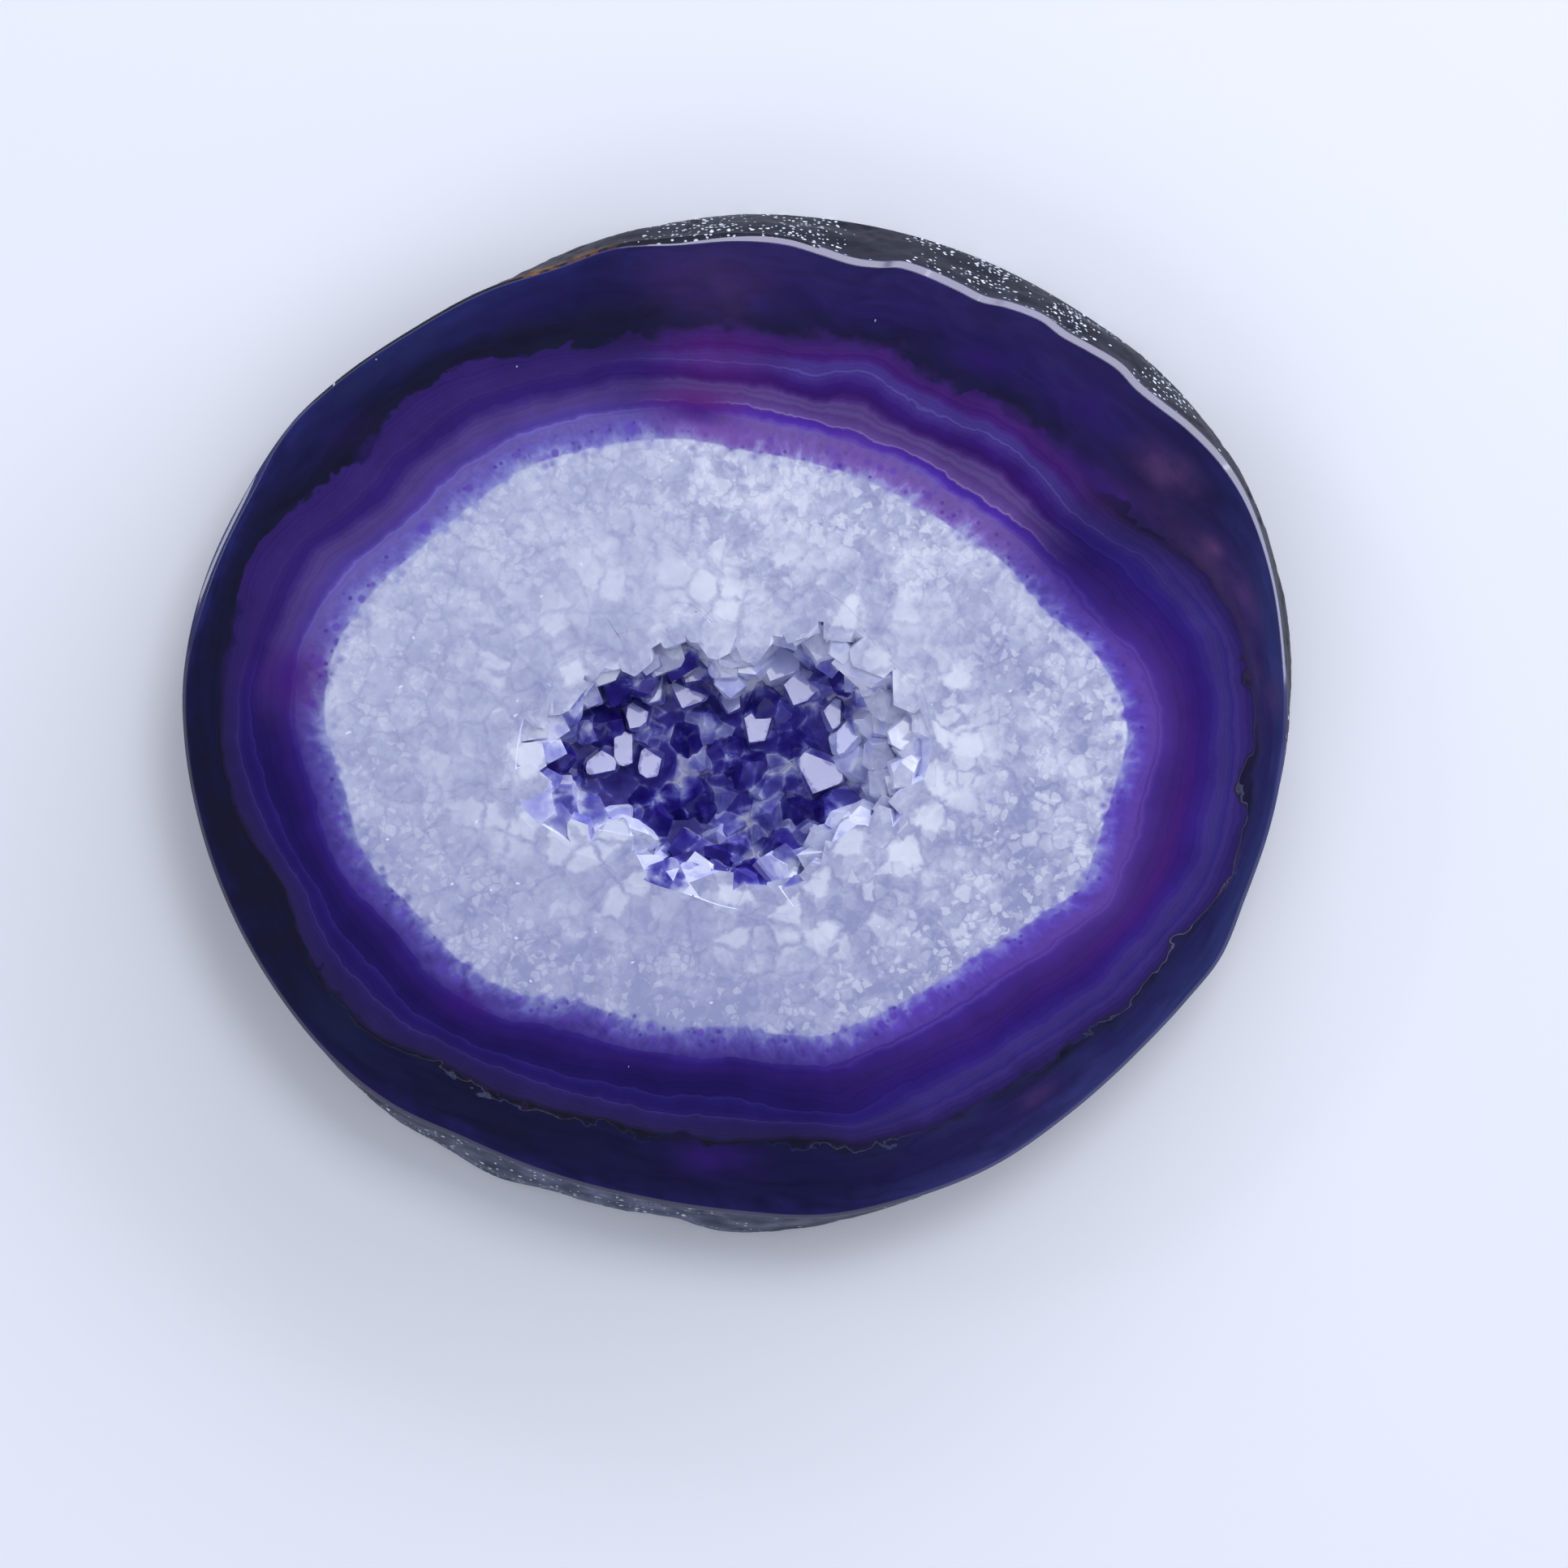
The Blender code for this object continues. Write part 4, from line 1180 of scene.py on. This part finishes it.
# %% The bed under the crystals
BED_AROUND = 160
BED_EMBED = 0.15
BED_MARGIN = 0.6
BED_RISES = (0.0, 0.05, 0.2, 0.35, 0.5, 0.7, 0.85, 1.0)


def bowl_ring(rise, inset, height):
    """Points of one ring of the bowl."""
    turns = np.arange(BED_AROUND) * 2 * math.pi / BED_AROUND
    share = np.interp(rise, HOLLOW_RISES, HOLLOW_SHARES)
    radius = share * outline_at(MOUTH_OUTLINE, np.degrees(turns)) - inset
    x = HOLLOW_MIDDLE[0] + radius * np.cos(turns)
    y = HOLLOW_MIDDLE[1] + radius * np.sin(turns)
    return np.stack([x, y, np.full(BED_AROUND, height)], axis=1)


bed_under = STONE_UNDER_HOLLOW - BED_EMBED
bed_over = STONE_UNDER_HOLLOW + BED_INSET
bowl = []
for rise in BED_RISES:
    height = bed_under + rise * (FACE_LEVEL - bed_under)
    bowl.append(bowl_ring(rise, -BED_EMBED - (MOUTH_STEP + BED_MARGIN) * rise, height))
for rise in reversed(BED_RISES):
    height = bed_over + rise * (FACE_LEVEL - bed_over)
    bowl.append(bowl_ring(rise, BED_INSET * (1.0 - 0.5 * rise), height))
middles = [[(*HOLLOW_MIDDLE, height)] for height in (bed_under, bed_over)]
corners = np.concatenate(bowl + middles)
sides = ring_faces(len(bowl), BED_AROUND, 0, len(corners) - 2, len(corners) - 1)
crust = mesh_object("quartz_crystals", corners, sides)
print("bed of quartz:", len(corners), "points,", round(bed_over - bed_under, 2), "mm thick in the middle")

# %% Fuse the crystals to their bed
fuse = crust.modifiers.new("fuse", "BOOLEAN")
fuse.operation = "UNION"
fuse.operand_type = "COLLECTION"
fuse.collection = loose_points
fuse.solver = "MANIFOLD"
graph = bpy.context.evaluated_depsgraph_get()
fused = bpy.data.meshes.new_from_object(crust.evaluated_get(graph))
crust.modifiers.remove(fuse)
crust.data = fused
for point in list(loose_points.objects):
    bpy.data.objects.remove(point)

# Only the one skin stays: bits that the fusing left apart are dropped
shape = bmesh.new()
shape.from_mesh(fused)
unseen = set(shape.verts)
islands = []
while unseen:
    island = []
    waiting = [unseen.pop()]
    while waiting:
        corner = waiting.pop()
        island.append(corner)
        beside = {edge.other_vert(corner) for edge in corner.link_edges} & unseen
        unseen -= beside
        waiting += beside
    islands.append(island)
islands.sort(key=len)
for island in islands[:-1]:
    bmesh.ops.delete(shape, geom=island, context="VERTS")
shape.to_mesh(fused)
shape.free()
fused.shade_flat()
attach(crust, "root")
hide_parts("crystal_crust")
print("fused crystals:", len(fused.polygons), "faces, loose bits dropped:", len(islands) - 1)

# %% [markdown]
# ## Which crystals the dye reached
# The dye ran down into the hollow and stained the roots of the crystals indigo, while those near
# the mouth stayed clear. Each crystal took it as a whole, so each gets one tone, by whether its tip
# lies in the dyed part of the hollow. Paint that ran across crystals would look like a stain on a
# tablecloth. Slopes that lie level near the face look sawn, and share the finish of the agate.

# %% The dyed part of the hollow
DYED_OUTLINE = (
    (-21.8, 4.0), (-18.6, 4.8), (-13.9, 5.4), (-10.0, 6.7), (-6.0, 8.6), (-2.8, 7.4), (-0.3, 4.5),
    (5.2, 4.5), (8.7, 8.8), (13.4, 9.2), (17.0, 5.6), (15.2, 0.2), (13.1, -3.8), (15.6, -7.0),
    (15.6, -10.9), (10.9, -11.7), (9.1, -16.0), (7.0, -19.8), (0.5, -19.4), (-3.9, -20.2),
    (-9.3, -21.0), (-12.6, -18.8), (-10.4, -13.4), (-13.5, -11.6), (-17.9, -13.9), (-25.2, -11.0),
    (-24.2, -5.2), (-23.2, -1.6),
)


def depth_in_dye(x, y):
    """How far points lie inside the dyed outline, in mm; below zero outside it."""
    inside = np.zeros(len(x), bool)
    nearest = np.full(len(x), np.inf)
    for (x0, y0), (x1, y1) in zip(DYED_OUTLINE, DYED_OUTLINE[1:] + DYED_OUTLINE[:1]):
        if y0 != y1:
            inside ^= ((y0 > y) != (y1 > y)) & (x < (x1 - x0) * (y - y0) / (y1 - y0) + x0)
        length = (x1 - x0) ** 2 + (y1 - y0) ** 2
        t = np.clip(((x - x0) * (x1 - x0) + (y - y0) * (y1 - y0)) / length, 0, 1)
        nearest = np.minimum(nearest, np.hypot(x - x0 - t * (x1 - x0), y - y0 - t * (y1 - y0)))
    return np.where(inside, nearest, -nearest)


pit_dye = np.clip(0.5 + depth_in_dye(points[:, 0], points[:, 1]) / 3.0, 0.0, 1.0)
store(slab_mesh, "dye", pit_dye)
print("tips in the dyed part:", int((depth_in_dye(tips[:, 0], tips[:, 1]) > 0).sum()), "of", len(tips))

# %% Which crystal each face belongs to
# Each face of the fused skin belongs to the crystal on whose plane it lies
OFF_PLANE = 2e-3


def from_faces(mesh, name):
    """Three numbers of every face of a mesh, such as its centre."""
    values = np.zeros(len(mesh.polygons) * 3)
    mesh.polygons.foreach_get(name, values)
    return values.reshape(-1, 3)


centres = from_faces(fused, "center") / MM
owner = np.full(len(centres), -1)
plane_of = np.full(len(centres), -1)
best = np.full(len(centres), OFF_PLANE)
for index, plan in enumerate(plans):
    normals = np.array([plane[0] for plane in plan])
    reach = np.array([plane[1] for plane in plan])
    past = centres @ normals.T - reach
    off = np.abs(past.max(axis=1))
    closer = off < best
    owner[closer] = index
    plane_of[closer] = past[closer].argmax(axis=1)
    best[closer] = off[closer]
print("faces that belong to a crystal:", int((owner >= 0).sum()), "of", len(owner))

# %% Tone and finish of each face
# Tone is 0 for the darkest indigo and 1 for clear, pale quartz; below, painted light raises it on some
# faces
PALE, MIDDLE, DARKEST = 0.92, 0.6, 0.02
CLEAR_FINISH, DYED_FINISH, SAWN_FINISH = 0, 1, 2
# How far under the face a slope still looks like sawn quartz in mm, if it lies this level
LEVEL_ZONE = 2.2
LEVEL_ENOUGH = 0.86
# Painted light: crystals with a bright face let more light through, so their tone is raised and their sides
# are never the darkest
PAINTED_THROUGH_LIGHT = 0.42
STEEP_PAINTED_LIGHT = 0.25
SOAK_DEPTH = 4.0
crystal_tone = np.empty(len(plans))
for index, depth in enumerate(depth_in_dye(tips[:, 0], tips[:, 1])):
    soaked = min(1.0, max(0.0, 0.4 + (depth + draw.uniform(-2.0, 2.0)) / SOAK_DEPTH))
    dark = DARKEST + (MIDDLE - DARKEST) * draw.random() ** 1.5
    crystal_tone[index] = PALE + draw.uniform(-0.1, 0.1) + soaked * (dark - PALE)
lit = slice(0, len(BRIGHT_FACES))
crystal_tone[lit] = np.maximum(crystal_tone[lit], PAINTED_THROUGH_LIGHT)
bed_depth = depth_in_dye(centres[:, 0], centres[:, 1])
tone = np.where(owner >= 0, crystal_tone[owner], np.clip(0.8 - 0.35 * bed_depth, 0.2, 0.8))
# Faces that mirror the window; the crystal recipe paints them pale as a painted highlight
bright = (owner >= 0) & (owner < len(BRIGHT_FACES)) & (plane_of == 0)
# Painted light: clear crystals carry light round inside, so their steep sides get a paler tone and are
# hardly darker than their tops
upward = from_faces(fused, "normal")[:, 2]
tone += np.where(tone > MIDDLE, STEEP_PAINTED_LIGHT * (1.0 - np.abs(upward)), 0.0)
sawn = (centres[:, 2] > FACE_LEVEL - LEVEL_ZONE) & (upward > LEVEL_ENOUGH) & (bed_depth < 1.0)
finish = np.where(sawn, SAWN_FINISH, np.where(tone < MIDDLE, DYED_FINISH, CLEAR_FINISH))
store(fused, "tone", tone, "FLOAT", "FACE")
store(fused, "finish", finish, "INT", "FACE")
store(fused, "mirror", bright.astype(float), "FLOAT", "FACE")
print("dyed faces:", int((finish == DYED_FINISH).sum()), "sawn faces:", int(sawn.sum()))

# %% Seams, ridges and finer triangles
# Edges where crystals meet are seams, and a crystal's own edges are ridges
SEAM_STEP = 0.15
LONGEST_EDGE = 0.9
SHARP = math.radians(6.0)
shape = bmesh.new()
shape.from_mesh(fused)
lines = {"seam": [], "ridge": []}
for edge in shape.edges:
    if len(edge.link_faces) != 2 or edge.calc_face_angle(0.0) < SHARP:
        continue
    start, end = (np.array(corner.co) for corner in edge.verts)
    count = max(2, int(edge.calc_length() / (SEAM_STEP * MM)) + 1)
    spots = [tuple(start + (end - start) * step / count) for step in range(count + 1)]
    lines["ridge" if edge.is_convex else "seam"] += spots
bmesh.ops.triangulate(shape, faces=shape.faces)
for halving in range(3):
    long_edges = [edge for edge in shape.edges if edge.calc_length() > LONGEST_EDGE * MM]
    bmesh.ops.subdivide_edges(shape, edges=long_edges, cuts=1)
    bmesh.ops.triangulate(shape, faces=shape.faces)
# Two triangles back to back enclose nothing, so both go
seen = {}
doubled = []
for face in shape.faces:
    key = frozenset(face.verts)
    if key in seen:
        doubled += [face, seen[key]]
    seen[key] = face
bmesh.ops.delete(shape, geom=doubled, context="FACES")
shape.to_mesh(fused)
shape.free()
print("crystals:", len(fused.polygons), "triangles, dropped:", len(doubled), "repaired:", fused.validate())

# %% Distance to the seams and ridges
for kind, spots in lines.items():
    nearby = kdtree.KDTree(len(spots))
    for index, spot in enumerate(spots):
        nearby.insert(spot, index)
    nearby.balance()
    store(fused, kind, [nearby.find(corner.co)[2] / MM for corner in fused.vertices])
corners = np.empty(3 * len(fused.vertices))
fused.vertices.foreach_get("co", corners)
store(fused, "dye_depth", depth_in_dye(corners[0::3] / MM, corners[1::3] / MM))
# What the sawn faces need for the recipe of the polished agate: they are quartz, near the mouth
SAWN_GROWTH = 3.9
SAWN_SIDE = 0.5
store(fused, "growth", np.full(len(fused.vertices), SAWN_GROWTH))
store(fused, "top_side", np.full(len(fused.vertices), SAWN_SIDE))
print("spots along the lines:", {kind: len(spots) for kind, spots in lines.items()})

# %% [markdown]
# ## Clear and dyed quartz
# Quartz is clear glass to the eye, with bright natural faces: IOR 1.544 and hardly any roughness.
# Fully clear crystals would need very many rays of light. Here a part of the light passes and the
# body swallows some of it, and the rest comes back from a surface colour that follows the tone.
# Veils, pale seams and cloudy edges break up each face, as flaws do in real crystals, and a painted
# highlight whitens faces turned to the window.

# %% Quartz recipes
CRYSTAL_TONES = (
    (0.0, "#1E1270"), (0.18, "#342890"), (0.36, "#4E48B0"), (0.5, "#7270CC"), (0.63, "#989CE0"),
    (0.76, "#B6BAF0"), (0.88, "#CFD4FC"), (1.0, "#E4E8FF"),
)
LAVENDER = 0.84
CLOUD, VEIL, VEIL_GAIN = 1.6, 4.2, 0.34
CRYSTAL_MASKS = ("tone", "seam", "ridge", "mirror", "dye_depth")


def crystal_tone_in(tree, joint_dye):
    """Tone over a crystal: its own, cleared towards the edge of the dye, with veils and pale seams, and a
    painted highlight on faces turned to the window.
    """
    place = place_in_mm(tree)
    mask = {}
    for name in CRYSTAL_MASKS:
        mask[name] = add(tree, "Attribute", {"attribute_name": name}).outputs["Fac"]
    cloud = add(tree, "TexNoise", {}, [place, 1 / CLOUD, 4.0])
    cloud_shift = add(tree, "Math", MINUS, [cloud, 0.5])
    # Towards the edge of the dye every crystal clears to a soft lavender
    reached = add(tree, "Math", TIMES_PLUS, [cloud_shift, 5.0, mask["dye_depth"]])
    clearing = add(tree, "MapRange", SOFT, [reached, 1.8, -0.8, 0.0, 0.85])
    cleared = add(tree, "Mix", {}, [clearing, mask["tone"], LAVENDER])
    paler = add(tree, "Math", TIMES_PLUS, [cloud_shift, 0.5, cleared])
    # Milky veils drift across several crystals
    veil = add(tree, "TexNoise", {}, {"Vector": place, "Scale": 1 / VEIL, "Detail": 3.0, "Distortion": 0.6})
    veil = add(tree, "MapRange", SOFT, [veil, 0.5, 0.68, 0.0, VEIL_GAIN])
    paler = add(tree, "Math", PLUS, [paler, veil])
    broken = add(tree, "MapRange", {}, [cloud, 0.42, 0.62, 0.0, 1.1])
    patchy = add(tree, "MapRange", {}, [veil, 0.0, VEIL_GAIN, 0.6, 1.4])
    broken = add(tree, "Math", TIMES, [broken, patchy])
    # Paler by how much, within how many mm of which line, and where
    glows = (("seam", 1.2, 0.2, patchy), ("seam", 0.36, 0.36, broken), ("ridge", 0.2, 0.12, broken))
    for line, reach, gain, where in glows:
        near = add(tree, "MapRange", SOFT, [mask[line], reach, 0.0, 0.0, gain])
        paler = add(tree, "Math", TIMES_PLUS, [near, where, paler])
    # Between pale crystals a trace of dye has settled in the joints
    if joint_dye:
        joint = add(tree, "MapRange", SOFT, [mask["seam"], 0.5, 0.0, 0.0, -joint_dye])
        joint_part = add(tree, "MapRange", {}, [cloud, 0.44, 0.6])
        joint = add(tree, "Math", TIMES, [joint, joint_part])
        paler = add(tree, "Math", PLUS, [paler, joint])
    # Painted highlight: a face turned to the window is painted pale, but for its cloudy edges
    off_edge = add(tree, "Math", TIMES_PLUS, [cloud_shift, 2.4, mask["ridge"]])
    painted_highlight = add(tree, "MapRange", SOFT, [off_edge, -0.25, 0.3, 0.0, 0.85])
    painted_highlight = add(tree, "Math", TIMES, [painted_highlight, mask["mirror"]])
    return add(tree, "Mix", {}, [painted_highlight, paler, LAVENDER])


print(len(CRYSTAL_TONES), "tones from indigo to clear, clouds", CLOUD, "mm, veils", VEIL, "mm")

# %% Quartz materials
# To the eye: clear crystals are bright flat faces with light inside, dyed ones deep blue violet glass
# Name, share of light let through, colour and strength of what the body swallows, dye in the joints
CRYSTALS = (
    ("Clear quartz crystal", 0.15, "#E2E4FF", 8.0, 0.42),
    ("Indigo dyed quartz crystal", 0.3, "#4A3AD0", 90.0, 0.0),
)
fused.materials.clear()
for name, clearness, body_colour, strength, joint_dye in CRYSTALS:
    crystal, tree, shader = new_material(name)
    tint = add(tree, "ValToRGB", {}, [crystal_tone_in(tree, joint_dye)], CRYSTAL_TONES)
    set_inputs(tree, shader, {"Base Color": tint, "Roughness": 0.05, "IOR": 1.544})
    set_inputs(tree, shader, {"Transmission Weight": clearness})
    body = add(tree, "VolumeAbsorption", {}, [linear(body_colour), strength])
    set_inputs(tree, tree.nodes["Material Output"], {"Volume": body})
    fused.materials.append(crystal)
fused.materials.append(agate)
face_finish = np.zeros(len(fused.polygons), np.int32)
fused.attributes["finish"].data.foreach_get("value", face_finish)
fused.polygons.foreach_set("material_index", face_finish)
print("materials on the crystals:", [material.name for material in fused.materials])

# %% [markdown]
# ## Floor, light and camera
# The slice lies on plain pale paper. A low, long window lights it from the upper right, and the
# sky straight above is dim, so that the polished face shows its colours and not the sky. Lamps
# that give even squares of light stand in for the windows: a sun would leave hard shadows.

# %% Floor
# To the eye: an even, dull ground that shows soft shadows and no shine
FLOOR_SIZE = 3000.0
UNDER_SLICE = 0.1
half = FLOOR_SIZE / 2
floor_corners = ((-half, -half, 0.0), (half, -half, 0.0), (half, half, 0.0), (-half, half, 0.0))
paper_floor = mesh_object("paper_floor", floor_corners, [(0, 1, 2, 3)])
paper_floor.location.z = -UNDER_SLICE * MM
paper, tree, shader = new_material("Matt paper")
set_inputs(tree, shader, {"Base Color": linear("#ECEEF3"), "Roughness": 0.9})
paper_floor.data.materials.append(paper)
print("paper floor:", FLOOR_SIZE / 1000, "m wide")

# %% Window light
# Bearing and height in degrees, distance, width and height in metres, brightness, colour
LIGHTS = {
    "window_0": (20.0, 15.0, 1.3, 0.74, 0.38, 7.2, "#F2F4FF"),
    "window_1": (52.0, 15.0, 1.3, 0.74, 0.38, 7.2, "#F2F4FF"),
    "window_2": (84.0, 15.0, 1.3, 0.74, 0.38, 7.2, "#F2F4FF"),
    "sky_window": (SKY_TURN, SKY_CLIMB, 1.6, 0.66, 0.6, 5.0, "#F4F5FF"),
    "left_card": (154.0, 29.0, 1.2, 0.34, 0.13, 8.0, "#EEF1FF"),
    "room_card": (245.0, 36.0, 1.3, 1.1, 0.5, 1.7, "#F4F4FA"),
}
for name, (azimuth, elevation, distance, width, height, radiance, tint) in LIGHTS.items():
    data = bpy.data.lights.new(name, "AREA")
    data.shape = "RECTANGLE"
    data.size = width
    data.size_y = height
    data.energy = radiance * math.pi * width * height
    data.color = linear(tint)[:3]
    lamp = bpy.data.objects.new(name, data)
    bpy.context.scene.collection.objects.link(lamp)
    climb = math.radians(elevation)
    toward = Vector(math.cos(climb) * level_way(azimuth) + math.sin(climb) * UP)
    lamp.location = toward * distance
    lamp.rotation_euler = toward.to_track_quat("Z", "Y").to_euler()
    lamp.visible_camera = False
print("lamps:", ", ".join(LIGHTS))

# %% The room and its dim ceiling
ROOM_BRIGHTNESS = 0.82
ROOM_TONES = ((0.0, "#D2D6E4"), (0.5, "#C6CAD8"), (0.96, "#BFC3D2"), (0.985, "#5A5C66"), (0.992, "#4A4C55"))
world = bpy.data.worlds.new("room")
world.use_nodes = True
bpy.context.scene.world = world
tree = world.node_tree
sky_at = add(tree, "TexCoord").outputs["Generated"]
up_sky = add(tree, "SeparateXYZ", {}, [sky_at]).outputs["Z"]
room = add(tree, "ValToRGB", {}, [up_sky], ROOM_TONES)
set_inputs(tree, tree.nodes["Background"], {"Color": room, "Strength": ROOM_BRIGHTNESS})
print("room brightness", ROOM_BRIGHTNESS, "with", len(ROOM_TONES), "tones from wall to ceiling")

# %% Camera straight above
CAMERA_ABOVE = 1600.0
FRAME_WIDTH = 181.6
FRAME_MIDDLE = (5.36, -7.14)
SENSOR = 36.0
camera_data = bpy.data.cameras.new("camera")
camera_data.sensor_width = SENSOR
camera_data.lens = SENSOR * CAMERA_ABOVE / FRAME_WIDTH
camera_data.clip_end = 20.0
camera = bpy.data.objects.new("camera", camera_data)
camera.location = Vector((*FRAME_MIDDLE, THICKNESS + CAMERA_ABOVE)) * MM
bpy.context.scene.collection.objects.link(camera)
bpy.context.scene.camera = camera
bpy.context.scene.view_settings.view_transform = "Standard"
print("lens", round(camera_data.lens, 1), "mm")

# %% [markdown]
# ## Closing

# %% Bring the scene up to date
bpy.context.view_layer.update()
